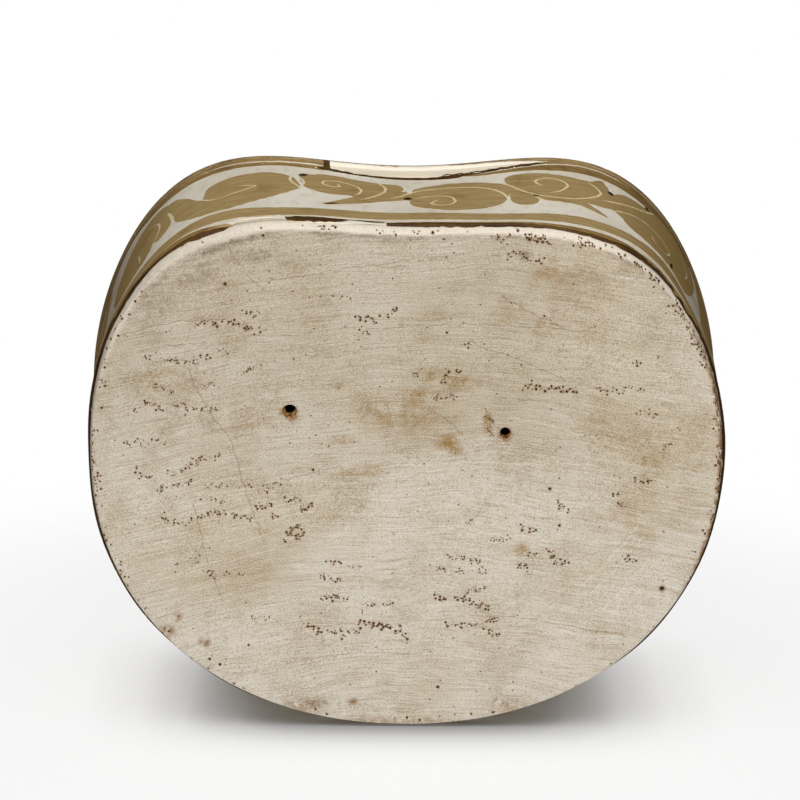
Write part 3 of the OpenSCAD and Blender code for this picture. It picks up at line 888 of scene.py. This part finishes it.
def bare_foot():
    """The foot, with pits, scratches and chips sunk into its face and the marks that colour it."""
    pits = foot_pits()
    dark, pale_lines = [[noisy(curve(points, False), SCRATCH_WAVER) for _, *points in rows]
                        for rows in (DARK_SCRATCHES, PALE_SCRATCHES)]
    flat, faces, outline, mouths = foot_face(pits, dark + pale_lines)
    x, y = flat.T
    inset, angle = foot_inset(flat)
    ahead = -np.sin(angle)
    share = np.clip(1 - inset / bevel_at(angle), 0, 1)
    lift = BEVEL_H * share ** (2.6 - 1.48 * smooth(ahead, 0.1, 0.45))
    pit = np.zeros(len(flat))
    for pit_x, pit_y, size in pits:
        away = np.hypot(x - pit_x, y - pit_y) / size
        lift += PIT_DEPTH * size * (1 - smooth(away, 0.35, 1.0))
        pit = np.maximum(pit, np.interp(away, [0.55, 1.05, 1.8], [1.0, 0.5, 0.0]))
    scratch, pale_scratch = groove_depth(flat, dark), groove_depth(flat, pale_lines)
    lift += GROOVE_DEPTH * np.maximum(scratch, pale_scratch)
    rim_burn = 0.95 * smooth(np.cos(angle), 0.86, 0.96) * (1 - smooth(inset, 1.2, 3.2))
    rust = np.maximum(rim_burn, 0.45 * sum(spot(flat, *burn) for burn in BACK_BURNS))
    for chip_x, chip_y, size, deep in RUST_CHIPS:
        chip = spot(flat, chip_x, chip_y, size, size * 0.75)
        lift += deep * chip
        rust = np.maximum(rust, chip)
    for vent_x, vent_y, radius, *_ in VENTS:
        away = np.hypot(x - vent_x, y - vent_y - 0.8) - radius
        rust = np.maximum(rust, 0.8 * (1 - smooth(away, 0.0, 1.5)))
    swell = np.sin(x / 31 + 0.4) * np.sin(y / 27) + np.sin(y / 9 + x / 70)
    lift += SWELL * (2 + swell) * (1 - share)
    stain, grey_marks = [np.max([strength * spot(flat, *place) for *place, strength in stains], 0)
                    for stains in (OCHRE_STAINS, GREY_PATCHES)]
    wider = 2.6 * smooth(-x, 55, 85) * smooth(ahead, 0.15, 0.45)
    into_bevel = bevel_at(angle) + wider - inset
    # Paler over the bevel and a little beyond it, most along the front.
    pale = smooth(into_bevel, 0.0, 0.5 + wider) * (1 - 0.1 * wider) * (0.4 + 0.6 * smooth(ahead, 0.2, 0.5))
    pale = np.maximum(pale, 0.7 * pale_scratch)
    # Painted shadow: a grey line just inside the front bevel, strongest on the left.
    bevel_shadow_line = smooth(ahead, 0.3, 0.7) * (0.5 + 0.4 * smooth(-x, -5, 15)) * smooth(into_bevel + 2.2, 0.0, 1.6)
    marks = {"pit": pit, "stain": stain, "grey_marks": np.maximum(grey_marks, bevel_shadow_line), "pale": pale,
             "rust": rust, "scratch": scratch}
    return foot_solid(np.column_stack([flat, lift]), faces, outline, mouths, marks)


def add_side(points, faces, line, levels):
    """A side of four-cornered faces from this line of the mesh through each level; its last line."""
    for level in levels:
        new = list(range(len(points), len(points) + len(line)))
        points += level
        faces += zip(line, line[1:] + line[:1], new[1:] + new[:1], new)
        line = new
    return line


def foot_solid(face_points, faces, outline, mouths, marks):
    """The foot's face with its side, vents and upper face added."""
    flat = face_points[:, :2]
    points, faces = face_points.tolist(), faces[:, ::-1].tolist()
    outer, *vents = [[int(np.hypot(*(flat - p).T).argmin()) for p in line] for line in (outline, *mouths)]
    tops = [add_side(points, faces, outer, [[[*flat[i], FOOT_T] for i in outer]])]
    first_vent = len(faces)
    for (x, y, mouth, bore, lean), line in zip(VENTS, vents):
        steps = [VENT_NECK, (bore / mouth, VENT_BORE_FROM), (bore / mouth, FOOT_T)]
        levels = [[[x + lean[0] + (flat[i][0] - x) * size, y + lean[1] + (flat[i][1] - y) * size, level]
                   for i in line] for size, level in steps]
        tops.append(add_side(points, faces, line, levels))
    last_vent = len(faces)
    loops = [np.array([points[i][:2] for i in line]) for line in tops]
    numbers = np.concatenate(tops)
    upper, corners = triangles(loops, [])
    near = [numbers[np.hypot(*(np.concatenate(loops) - p).T).argmin()] for p in upper]
    middle = upper[corners].mean(1)
    open_to_vent = inside(middle, loops[1]) | inside(middle, loops[2])
    faces += [[near[i] for i in face] for face in corners[inside(middle, loops[0]) & ~open_to_vent]]
    piece = make_piece("bare_foot", points, faces, [CLAY, VENT])
    for i in range(first_vent, last_vent):
        piece.data.polygons[i].material_index = 1
    for name, values in marks.items():
        set_attribute(piece, name, np.concatenate([values, np.zeros(len(points) - len(values))]))
    in_edit((bpy.ops.mesh.normals_make_consistent, {"inside": False}))
    return piece


finish_piece(bare_foot(), "buff_clay", "foot_slab")


# The skins of glaze. Each is one sheet, bent round the pillow and closed on itself.
def bent_sheet(name, around, rows, place):
    """A flat grid whose points are laid round the pillow; place gives points and line for turn and row."""
    bpy.ops.mesh.primitive_grid_add(x_subdivisions=around, y_subdivisions=rows, size=1)
    piece = bpy.context.object
    piece.name = name
    piece.data.name = name
    flat = np.empty(len(piece.data.vertices) * 3)
    piece.data.vertices.foreach_get("co", flat)
    flat = flat.reshape(-1, 3) + 0.5
    points, line = place(flat[:, 0], np.rint(flat[:, 1] * rows).astype(int))
    piece.data.vertices.foreach_set("co", (points * MM).ravel())
    piece.data.materials.append(WHITE)
    set_attribute(piece, "line", line)
    in_edit((bpy.ops.mesh.remove_doubles, {"threshold": 2e-5}),
            (bpy.ops.mesh.normals_make_consistent, {"inside": False}))
    return piece


# The glazed headrest: under the lip, round it, in rings to the middle, and back inside the glaze.
UNDER_SHARES = [0.0, 0.16, 0.3, 0.38, 0.62, 0.86]
LIP_ARCS = np.radians([0, 5, 10, 16, 20, 28, 36, 44, 52, 60, 68, 76, 83, 90])
LIP_LINE_FROM, LIP_LINE_TO = np.radians([4, 40])
TOP_LINE = 0.94
TOP_SHARES = [0.985, 0.965, TOP_LINE, 0.91, 0.87, 0.82, 0.76, 0.68, 0.58, 0.46, 0.32, 0.16, 0.0]
FIRST_LIP = len(UNDER_SHARES)
FIRST_TOP = FIRST_LIP + len(LIP_ARCS)
FIRST_INNER = FIRST_TOP + len(TOP_SHARES)
LAST_ROW = 2 * FIRST_INNER - FIRST_LIP
HEADREST_AROUND = 360
TUCKED_IN = 0.4
TUCKED_UNDER = 0.15


def headrest_row(number, angle):
    """Points and painted line of one row of the headrest's skin."""
    inner = number >= FIRST_INNER
    step = 2 * FIRST_INNER - 1 - number if inner else number
    coat = 0.0 if inner else GLAZE_T
    if number == LAST_ROW or step < FIRST_LIP:
        share = UNDER_SHARES[step % FIRST_LIP] if number < LAST_ROW else 0.0
        flat = rim_line(angle, GLAZE_T - TUCKED_IN) * (1 - share) + lip_line(angle, 0.0) * share
        return flat, saddle(flat) - TUCKED_UNDER, -1.0
    if step < FIRST_TOP:
        arc = LIP_ARCS[step - FIRST_LIP]
        flat, rise = round_lip(angle, arc, coat)
        return flat, saddle(flat) + LIP_SOFT + rise, 1.0 * (LIP_LINE_FROM < arc < LIP_LINE_TO)
    share = TOP_SHARES[step - FIRST_TOP]
    flat = lip_line(angle, -LIP_ROUND) * share
    return flat, saddle(flat) + HEADREST_T + coat, 1.0 * (share == TOP_LINE)


def headrest_skin(turns, row):
    points = np.zeros((len(turns), 3))
    lines = np.zeros(len(turns))
    for number in np.unique(row):
        here = row == number
        flat, height, line = headrest_row(number, -np.pi * 1.5 + turns[here] * 2 * np.pi)
        points[here] = np.column_stack([flat, height])
        lines[here] = line
    return points, lines


glazed_headrest = bent_sheet("glazed_headrest", HEADREST_AROUND, LAST_ROW, headrest_skin)
finish_piece(glazed_headrest, "white_glaze", "headrest_glaze")

# The scroll on the front, as runs and heights on the wall. Leaves overlap where they grow together.
LEFT_LEAF = leaf(
    (-112, 81), (-106, 73), (-105, 62), (-105, 50), (-106, 42), (-110, 36), (-114, 35), (-116, 39),
    (-118, 33), (-122, 26.5), (-127, 23), (-133, 21), (-139, 20), (-144, 23), (-148, 31), (-149, 43),
    (-146, 55), (-141, 65), (-135, 73), (-127, 79), (-119, 81.5))
COMMA_LEAF = leaf(
    (-110, 75), (-103, 73), (-99.5, 68.5), (-95.5, 61.5), (-92.5, 54.5), (-89.5, 50), (-88.5, 54),
    (-87.5, 59), (-86, 63.5), (-81.5, 67), (-76, 69), (-68, 70), (-60, 70.5), (-53, 68), (-48.5, 64.5),
    (-47, 59.5), (-45.5, 53), (-48, 47.5), (-54.5, 41), (-61.5, 35), (-69.5, 29.5), (-77.5, 26),
    (-85.5, 26.5), (-92, 29), (-97.5, 33.5), (-102, 39), (-103.5, 44.5), (-104, 51), (-105, 58),
    (-106, 66.5))
CURLED_LEAF = leaf(
    (-45, 67), (-40, 70), (-34, 72.5), (-26, 71), (-18.5, 68), (-10.5, 65.5), (-4, 64.5), (-2, 61),
    (-1, 56.5), (1, 49), (0, 43.5), (-4, 41), (-11.5, 38), (-19.5, 34), (-27.5, 31), (-33.5, 29),
    (-36.5, 29.5), (-32.5, 33.5), (-27.5, 38), (-23.5, 42), (-25, 44), (-31, 44), (-36, 45.5), (-41, 49),
    (-44, 53), (-45, 59.5))
ROUND_LEAF = leaf(
    (-8, 42.5), (-4, 46.5), (1.5, 52), (2.5, 58), (8, 63), (15, 66), (22.5, 66.5), (29.5, 64.5),
    (35.5, 61.5), (40.5, 58.5), (43.5, 53.5), (44, 47.5), (43.5, 41.5), (42.5, 35.5), (39, 30),
    (33, 26.5), (26, 25), (18.5, 25), (11, 28), (5, 31), (1.5, 35), (1, 40.5), (-0.5, 44), (-4, 44))
HANGING_LOBE = leaf(
    (38.5, 58.5), (44.5, 55.5), (50.5, 49.5), (57, 43.5), (59.5, 41.5), (57.5, 38), (56.5, 33),
    (53.5, 30.5), (49.5, 31), (46, 34.5), (44.5, 40.5), (44, 47.5), (41.5, 53.5))
STEM_TAIL = leaf(
    (43.5, 54.5), (51, 48.5), (57, 43.5), (64, 41.5), (71, 41.5), (77, 41), (82, 37.5), (88, 32.5),
    (82, 33.5), (75, 35.5), (67.5, 36.5), (61, 37), (57.5, 40), (51, 46.5))
BIG_LEAF = leaf(
    (41, 62), (41.5, 67.5), (45, 70.5), (52, 71.5), (60, 71), (68, 70), (75, 69), (79, 71), (81.5, 74.5),
    (83.5, 76), (86.5, 70.5), (88, 64), (90, 66.5), (93.5, 71.5), (98, 75), (103, 77.5), (107, 79.5),
    (113, 86), (122, 91), (132, 94), (141, 93), (146.5, 84), (147.5, 74), (146.5, 62), (144.5, 52),
    (142, 42), (139, 34), (135, 28), (130, 29.5), (125, 32), (118, 33), (110, 33.5), (103, 35), (98, 37),
    (95, 41.5), (90, 45), (86, 42.5), (81, 41), (76, 41), (69, 41.5), (62, 42), (57, 43.5), (49.5, 49.5),
    (44, 56.5))
RIGHT_LEAF = leaf(
    (152, 97), (151.5, 80), (152.5, 60), (153, 40), (152, 27), (158, 22), (166, 30), (172, 46), (174, 66),
    (170, 84), (162, 96))
FAR_LEFT_LEAF = leaf(
    (-157, 92), (-156, 75), (-157, 55), (-158, 38), (-160, 26), (-167, 24), (-173, 36), (-176, 55),
    (-174, 75), (-167, 90))
FRONT_LEAVES = [LEFT_LEAF, COMMA_LEAF, CURLED_LEAF, ROUND_LEAF, HANGING_LOBE, STEM_TAIL, BIG_LEAF,
                RIGHT_LEAF, FAR_LEFT_LEAF]
CUT_W = 1.25
ROUND_CUTS = [
    cut(CUT_W, (-8, 43), (-3, 47.5), (1, 53), (7, 57.5), (14, 60), (20.5, 60), (27.5, 58), (34.5, 54),
        (39.5, 48.5), (43, 41.5), (44.5, 34.5)),
    cut(CUT_W, (2.5, 44), (5, 45.5), (9, 48), (15, 48), (19, 44.5), (20.5, 39), (19, 34.5), (14, 33.5),
        (10.5, 36), (11, 39), (13.5, 42))]
FRONT_CUTS = ROUND_CUTS + [
    cut(CUT_W, (-126, 69), (-119, 67.5), (-113.5, 62), (-111.8, 54), (-113, 46), (-116, 39)),
    cut(1.8, (-107, 63), (-105.3, 55), (-104.5, 46), (-104.8, 40), (-106, 34)),
    cut(CUT_W, (-90, 52.5), (-86.5, 46.5), (-82.5, 44), (-77, 45), (-70, 48.5), (-65, 52), (-68.5, 54),
        (-73.5, 55.5)),
    cut(CUT_W, (-48.5, 68), (-49.5, 60.5), (-48, 55.5), (-45.5, 50)),
    cut(CUT_W, (-47, 68), (-44, 61), (-44.5, 55.5), (-47, 50)),
    cut(CUT_W, (-23, 44.5), (-21, 47.5), (-19.5, 53), (-21.5, 58.5), (-26.5, 63), (-31, 64), (-35, 62.5),
        (-35.5, 58.5), (-31.5, 55.5), (-28.5, 57), (-29.5, 60.5)),
    cut(CUT_W, (-12, 66.5), (-9.5, 60.5), (-9.5, 54), (-12, 48.5), (-17, 42), (-20.5, 39)),
    cut(2.6, (-1.5, 67.5), (0, 62.5), (-0.5, 58.5), (-2, 54)),
    cut(CUT_W, (41, 59.5), (47.5, 51), (54, 45), (61, 42), (69, 41.5), (75, 44.5), (79.5, 49.5),
        (82.5, 54.5), (83.5, 59.5), (81, 64.5), (77, 69)),
    cut(CUT_W, (58, 55.5), (55, 58.5), (54.5, 62.5), (57.5, 65), (62.5, 65), (66.5, 62.5), (68.5, 58.5),
        (67.5, 54), (65, 49.5), (61, 47)),
    cut(CUT_W, (84.5, 50.5), (90.5, 55.5), (97, 62.5), (101, 67), (106, 73), (110, 79.5), (113, 86)),
    cut(CUT_W, (90.5, 45), (96.5, 51), (102.5, 56.5), (110, 60.5), (118, 61), (123.5, 57), (123.5, 51),
        (120.5, 46), (114, 45), (111.5, 50.5)),
    cut(CUT_W, (55, 42), (57.5, 38.5), (58.5, 34.5), (57, 31.5)),
    cut(CUT_W, (133, 80.5), (138, 75), (139.5, 65), (136.5, 52)),
    cut(CUT_W, (-127, 48), (-125.5, 40), (-125, 31)),
    cut(CUT_W, (162, 84), (165, 68), (163, 50), (158, 42)),
    cut(CUT_W, (-164, 80), (-168, 64), (-166, 48), (-162, 40))]
LEAF_MIDDLE = (21, 47)
LEAF_HALF_H = 24
BACK_STRETCH = 1.12
BACK_FIRST = 205
BACK_STEP = 68
BACK_COPIES = 7
BACK_ABOVE_BAND = 4
BACK_BELOW_TOP = 9


def on_back(outlines):
    """Copies of a front leaf along the back, each second one turned round, stretched to the wall there.

    A copy that would lie over the join of the sheet, and so come out torn in two, is left out.
    """
    copies = []
    for number in range(BACK_COPIES):
        for outline in outlines:
            flat = (outline - LEAF_MIDDLE) * (-1 if number % 2 else 1)
            runs = wrapped(flat[:, 0] * BACK_STRETCH + (BACK_FIRST + BACK_STEP * number))
            low, high = band_high(runs) + BACK_ABOVE_BAND, wall_top(runs) - BACK_BELOW_TOP
            share = (flat[:, 1] + LEAF_HALF_H) / (2 * LEAF_HALF_H)
            if np.ptp(runs) < HALF_RUN / 2:
                copies.append(np.column_stack([runs, low + (high - low) * share]))
    return copies


# Above the wall's top, heights go on along the lip's underside and round its edge.
LIP_WIDE = 6.0
LIP_END = 1.25
LIP_PROUD = 0.1
UNDER_LIP = 0.32
SOFT_FROM = 0.86
SOFT_OVER = 0.14
LINE_LAP = 0.15
LINE_OVER_CLAY = 0.6
GLAZE_THINS_OVER = 0.5


def border_low(runs):
    return wall_top(runs) - border_drop(runs)


def border_high(runs):
    return wall_top(runs) - border_gap(runs)


def lip_high(runs):
    return wall_top(runs) + LIP_END * LIP_WIDE


def lip_edge(runs):
    share = np.interp(runs, [-34, 10, 30, 45, 58], [1.05, 1.05, 0.95, 0.82, 0.6])
    return wall_top(runs) + (share + 0.03 * np.sin(runs / 5)) * LIP_WIDE


def line_foot(runs):
    """The dark line laps over the glaze's lower edge."""
    return glaze_edge(runs) - LINE_OVER_CLAY


def line_lap(runs):
    """The amber upper part of the line runs on under the dark lower part."""
    return line_foot(runs) + LINE_LAP * (line_top(runs) - line_foot(runs))


def line_middle(runs):
    """Where the dark lower part of the line ends."""
    share = np.interp(runs, [-130, -115, -90, -20, 40, 70, 92, 98, 104, 110, 130],
                      [0.22, 0.12, 0.2, 0.8, 0.45, 0.22, 0.18, 0.4, 0.32, 0.16, 0.24])
    return line_foot(runs) + share * (line_top(runs) - line_foot(runs))


def on_lip(*marks):
    """Marks of run and share of the lip's width, as runs and heights."""
    return [(run, wall_top(np.array([run]))[0] + LIP_WIDE * share) for run, share in marks]


END = HALF_RUN + 0.4
WALL_TONES = [BROWN, DARK, OLIVE, AMBER]
IN_BROWN, IN_DARK, IN_OLIVE, IN_AMBER = range(len(WALL_TONES))
STRIPS = [
    (IN_BROWN, band_low, band_high, -END, END), (IN_OLIVE, border_low, lip_high, -END, -34),
    (IN_OLIVE, border_low, border_high, 24, 58), (IN_OLIVE, border_low, lip_high, 58, END),
    (IN_OLIVE, lip_edge, lip_high, -34, 58), (IN_AMBER, line_lap, line_top, -END, -78),
    (IN_AMBER, line_lap, line_top, -10, END), (IN_DARK, line_foot, line_middle, -END, -78),
    (IN_DARK, line_foot, line_middle, -10, END)]
# A tapering dark leaf along the glaze's edge, then dark dabs where leaves meet.
DARK_DABS = [
    ((-53.5, 5.2), (-55, 7.4), (-51, 9.2), (-44, 9.4), (-36, 9.4), (-28, 9.2), (-20, 8.9), (-11, 8.2),
     (-10.5, 7.4), (-19, 8), (-26, 8.2), (-29, 6.6), (-33, 5.4), (-40, 4.8), (-48, 4.5)),
    ((-2, 43.5), (0, 46.5), (2, 44), (0.5, 42)), ((54, 43.5), (55.5, 45), (57.5, 42.5), (55.5, 41.5)),
    ((86.5, 65), (88, 67), (89.5, 65), (88.5, 62)), ((-37.5, 30), (-34.5, 31.5), (-30.5, 31), (-33.5, 29)),
    ((-45.5, 68), (-43, 70.5), (-41, 69), (-43.5, 66.5)), ((107, 80.5), (108.5, 83.5), (110, 82), (109, 80)),
    ((123.5, 34), (124.5, 41), (126, 40), (125, 34))]
OLIVE_DAB = ((74, 80.5), (77, 83), (80, 81), (79, 78.5), (76, 79))
# The dark line where the lip meets the wall, and a run in the glaze at its left end.
LIP_MARKS = [
    ((-36, 0.35), (-30, 0.2), (-20, 0.02), (-10, -0.15), (0, -0.26), (8, -0.28), (13, -0.15), (16, 0.12),
     (22, 0.1), (30, 0.14), (40, 0.25), (50, 0.38), (57, 0.48), (58, 0.32), (52, 0.14), (42, -0.04),
     (32, -0.2), (24, -0.4), (20, -0.75), (15, -0.8), (10, -0.8), (0, -0.82), (-10, -0.68), (-18, -0.42),
     (-28, -0.18), (-35, 0.0)),
    ((-34.8, 0.1), (-34.2, 0.5), (-33.8, 1.1), (-31.6, 1.1), (-31.4, 0.5), (-31.8, 0.1))]
wall_shapes = [(outline, IN_BROWN) for outline in FRONT_LEAVES + on_back([ROUND_LEAF, HANGING_LOBE])]
wall_shapes += [(strip(*band), tone) for tone, *band in STRIPS]
wall_shapes += [(leaf(*points), IN_DARK) for points in DARK_DABS]
wall_shapes += [(leaf(*OLIVE_DAB), IN_OLIVE)]
wall_shapes += [(leaf(*on_lip(*marks)), IN_DARK) for marks in LIP_MARKS]
LIP_CUTS = [
    cut(0.8, *on_lip((-165, -0.1), (-150, -0.15), (-135, -0.2), (-120, -0.28), (-109, -0.3))),
    cut(0.5, *on_lip((-160, 0.5), (-140, 0.42), (-120, 0.42), (-104, 0.5), (-92, 0.62), (-80, 0.72),
        (-66, 0.8))),
    cut(1.0, *on_lip((-103, -0.3), (-95, -0.3), (-88, -0.15), (-80, 0.05), (-70, 0.18), (-60, 0.3),
        (-50, 0.42), (-40, 0.45), (-34, 0.42))),
    cut(1.0, *on_lip((48, -0.12), (60, 0.15), (70, 0.2), (80, 0.12), (90, -0.08), (100, -0.27))),
    cut(0.6, *on_lip((104, -0.2), (116, -0.12), (130, -0.12), (150, -0.1))),
    cut(0.5, *on_lip((72, 0.72), (86, 0.6), (100, 0.45), (120, 0.45), (145, 0.5)))]
wall_cuts = FRONT_CUTS + LIP_CUTS + on_back(ROUND_CUTS)


def on_wall(flat):
    """Places for runs and heights: up the wall, out under the lip and round its edge."""
    runs, height = wrapped(flat[:, 0]), flat[:, 1]
    top = wall_top(runs)
    low = np.minimum(height, top)
    above = low - glaze_edge(runs)
    thin = np.clip(1 + above / GLAZE_THINS_OVER, 0, 1)
    glaze = (GLAZE_T + hand_wave(runs, low) + bead(above)) * thin
    points = wall_point(runs, low, glaze + SLIP_T)
    share = np.clip((height - top) / LIP_WIDE, 0, LIP_END)
    angle = angle_at(runs)
    arc = np.radians(90) * np.clip(share - 1, 0, 1)
    edge, rise = round_lip(angle, arc, GLAZE_T + SLIP_T + LIP_PROUD)
    soft = LIP_SOFT * np.clip((share - SOFT_FROM) / SOFT_OVER, 0, 1)
    share = share[:, None]
    under = rim_line(angle, GLAZE_T) * (1 - share) + edge * share
    lip = np.where(share < 1, under, edge)
    return np.where(share > 0, np.column_stack([lip, saddle(lip) + soft - UNDER_LIP + rise]), points)


# The wall's skin goes up the outside in rows, then has three more: inside above, inside below, and
# back to the thin edge it started from.
WALL_ROWS = 44
INNER_TOP, INNER_FOOT, THIN_EDGE = range(WALL_ROWS + 1, WALL_ROWS + 4)
THIN_EDGE_T = 0.35
WALL_AROUND = 420
UNDER_SLIP = -2.0


def wall_skin(turns, row):
    runs = (turns * 2 - 1) * HALF_RUN
    low, high = glaze_edge(runs), wall_top(runs)
    share = np.where(row >= INNER_FOOT, 0.0, np.clip(row / WALL_ROWS, 0, 1))
    height = low + (high - low) * share
    out = GLAZE_T + hand_wave(runs, height) + bead(height - low)
    out = np.where((row == INNER_TOP) | (row == INNER_FOOT), 0.0, out)
    out = np.where((row == 0) | (row == THIN_EDGE), THIN_EDGE_T, out)
    painted = np.zeros(len(runs))
    for outline, _ in wall_shapes:
        painted[inside(np.column_stack([runs, height]), outline)] = UNDER_SLIP
    return wall_point(runs, height, out), painted


SHEET_GAP = 3.0
lip_runs = np.arange(-END, END, 2.0)
lip_points = [np.column_stack([lip_runs, wall_top(lip_runs) + LIP_WIDE * share])
              for share in (-0.05, 0.0, 0.05, 0.4, 0.75, 0.86, 0.93, 1.0, 1.06, 1.12, 1.18)]
edge_points = [np.column_stack([lip_runs, glaze_edge(lip_runs) + above])
               for above in (-0.25, 0.05, 0.6, 1.2, 2.0, 3.0)]
wall_points = np.concatenate([lattice((-END, 0), (END, 104), SHEET_GAP), *lip_points, *edge_points])
glazed_wall = bent_sheet("glazed_wall", WALL_AROUND, THIN_EDGE, wall_skin)
finish_piece(glazed_wall, "white_glaze", "wall_glaze")
painted_wall = painted_sheet("painted_wall", wall_shapes, wall_cuts, wall_points, on_wall, WALL_TONES)
finish_piece(painted_wall, "white_glaze")

# The headrest's top: a quiet scroll of the same leaves, as places, turns, sizes and whether mirrored.
TOP_UNITS = [
    (-62, 14, 0.3, 1.5, False), (62, 14, -0.3, 1.5, True), (4, -52, 0.0, 1.0, False),
    (0, 62, 3.14, 1.0, False)]


def top_leaf(outline, x, y, turn, size, mirrored):
    flat = (outline - LEAF_MIDDLE) * (-size if mirrored else size, size)
    cos, sin = math.cos(turn), math.sin(turn)
    return flat @ np.array([[cos, sin], [-sin, cos]]) + (x, y)


def on_top(flat):
    return np.column_stack([flat, saddle(flat) + HEADREST_T + GLAZE_T + SLIP_T])


top_shapes = [(top_leaf(o, *unit), IN_BROWN) for unit in TOP_UNITS for o in (ROUND_LEAF, HANGING_LOBE)]
top_cuts = [top_leaf(o, *unit) for unit in TOP_UNITS for o in ROUND_CUTS]
top_points = lattice((-140, -120), (140, 120), SHEET_GAP)
painted_top = painted_sheet("painted_headrest", top_shapes, top_cuts, top_points, on_top, [BROWN])
finish_piece(painted_top, "white_glaze")

# The clay parts under the glaze keep their shape and take the clay's look.
CLAY_PARTS = [
    "front_wall", "back_wall", "headrest_slab", "foot_coil", "headrest_coil", "left_seam_coil",
    "right_seam_coil"]
for node in CLAY_PARTS:
    part = bpy.data.objects[node]
    part.data.materials.clear()
    part.data.materials.append(INNER)

# The stage: the white floor under the pillow's back edge, and the floor it would stand on in use.
# Each step of the shadow is its reach in metres and its strength.
FLOOR_SHADE = [(0.014, 0.75), (0.026, 0.75), (0.038, 0.5), (0.055, 0.35)]


def floor_piece(name, centre, toward, size, fade):
    """A one-sided white floor that fades out and shows only the shadow close under the pillow."""
    bpy.ops.mesh.primitive_plane_add(size=size)
    floor = bpy.context.object
    floor.name = name
    turned = Vector(toward).to_track_quat("Z", "Y").to_matrix().to_4x4()
    floor.matrix_world = Matrix.Translation(Vector(centre)) @ turned
    made = bpy.data.materials.new(name)
    made.use_nodes = True
    tree = made.node_tree
    tree.nodes.clear()
    gone = ramp(tree, arrows(tree, "LENGTH", object_place(tree))["Value"], *fade)
    behind = wire(tree, "ShaderNodeNewGeometry").outputs["Backfacing"]
    shade = 1.0
    for reach, strength in FLOOR_SHADE:
        close = wire(tree, "ShaderNodeAmbientOcclusion", {"Distance": reach}, samples=6).outputs["AO"]
        shade = times(tree, shade, sums(tree, "POWER", close, strength))
    glow = wire(tree, "ShaderNodeEmission", {"Color": shade, "Strength": 1.0}).outputs[0]
    lit = wire(tree, "ShaderNodeBsdfDiffuse", {"Color": (0.96, 0.96, 0.96, 1)}).outputs[0]
    white = wire(tree, "ShaderNodeMixShader", {0: 0.22, 1: glow, 2: lit}).outputs[0]
    glass = wire(tree, "ShaderNodeBsdfTransparent").outputs[0]
    clear = sums(tree, "MAXIMUM", gone, behind)
    both = wire(tree, "ShaderNodeMixShader", {0: clear, 1: white, 2: glass}).outputs[0]
    wire(tree, "ShaderNodeOutputMaterial", {0: both})
    floor.data.materials.append(made)
    for ray in ("shadow", "diffuse", "glossy", "transmission"):
        setattr(floor, "visible_" + ray, False)


floor_piece("photo_floor", (0.0, 0.124, 0.045), (0.0, -0.9991, 0.0418), 1.6, (0.2, 0.42))
floor_piece("table", (0.0, 0.0, -0.0006), (0.0, 0.0, 1.0), 3.0, (0.5, 1.2))

# A white room, which the camera sees as pure white and which lights the pillow only a little.
world = bpy.data.worlds.new("white room")
bpy.context.scene.world = world
world.use_nodes = True
sky = world.node_tree
sky.nodes.clear()
rays = wire(sky, "ShaderNodeLightPath").outputs
seen = sums(sky, "MAXIMUM", rays["Is Camera Ray"], rays["Is Transmission Ray"])
level = ramp(sky, seen, 0.0, 1.0, 0.22, 1.0)
room = wire(sky, "ShaderNodeBackground", {"Color": (1.0, 1.0, 1.0, 1.0), "Strength": level})
wire(sky, "ShaderNodeOutputWorld", {0: room.outputs[0]})


def softbox(name, place, size, watts):
    """A round lamp that looks at the pillow's middle."""
    lamp = bpy.data.lights.new(name, "AREA")
    lamp.shape = "DISK"
    lamp.size = size
    lamp.energy = watts
    holder = bpy.data.objects.new(name, lamp)
    bpy.context.collection.objects.link(holder)
    holder.location = place
    holder.rotation_mode = "QUATERNION"
    holder.rotation_quaternion = (Vector(CENTRE) - Vector(place)).to_track_quat("-Z", "Y")
    holder.visible_camera = False


CENTRE = (0.0, 0.0, 0.04)
softbox("overhead softbox", (-0.1, -1.5, -0.5), 1.4, 12)
softbox("camera side fill", (0.1, -0.25, -1.7), 1.2, 22)
softbox("headrest softbox", (0.0, 0.9, 1.6), 1.2, 24)
softbox("back fill", (0.0, 1.7, 0.3), 1.2, 14)

# The camera, rolled a little as it was held, looking up at the foot from below the front.
DISTANCE = 1.3
TILT = math.radians(16.004)
ROLL = math.radians(0.495)
YAW = math.radians(-0.624)
SLIDE_X = 0.003076
SLIDE_UP = -0.025809
SENSOR_W = 36
LENS_PER_WIDTH = 3042 / 800
sideways = Vector((math.cos(YAW), 0.0, math.sin(YAW)))
ahead = Vector((-math.sin(YAW), 0.0, math.cos(YAW)))
forward = ahead * math.cos(TILT) + Vector((0.0, math.sin(TILT), 0.0))
upward = ahead * math.sin(TILT) - Vector((0.0, math.cos(TILT), 0.0))
camera = bpy.data.objects.new("camera", bpy.data.cameras.new("camera"))
bpy.context.collection.objects.link(camera)
camera.data.sensor_width = SENSOR_W
camera.data.lens = SENSOR_W * LENS_PER_WIDTH
camera.data.clip_end = 10
right = sideways * math.cos(ROLL) + upward * math.sin(ROLL)
top = upward * math.cos(ROLL) - sideways * math.sin(ROLL)
axes = Matrix((right, top, -forward)).transposed().to_4x4()
eye = -SLIDE_X * sideways - SLIDE_UP * upward - DISTANCE * forward
camera.matrix_world = Matrix.Translation(eye) @ axes
bpy.context.scene.camera = camera
bpy.context.scene.view_settings.view_transform = "Standard"
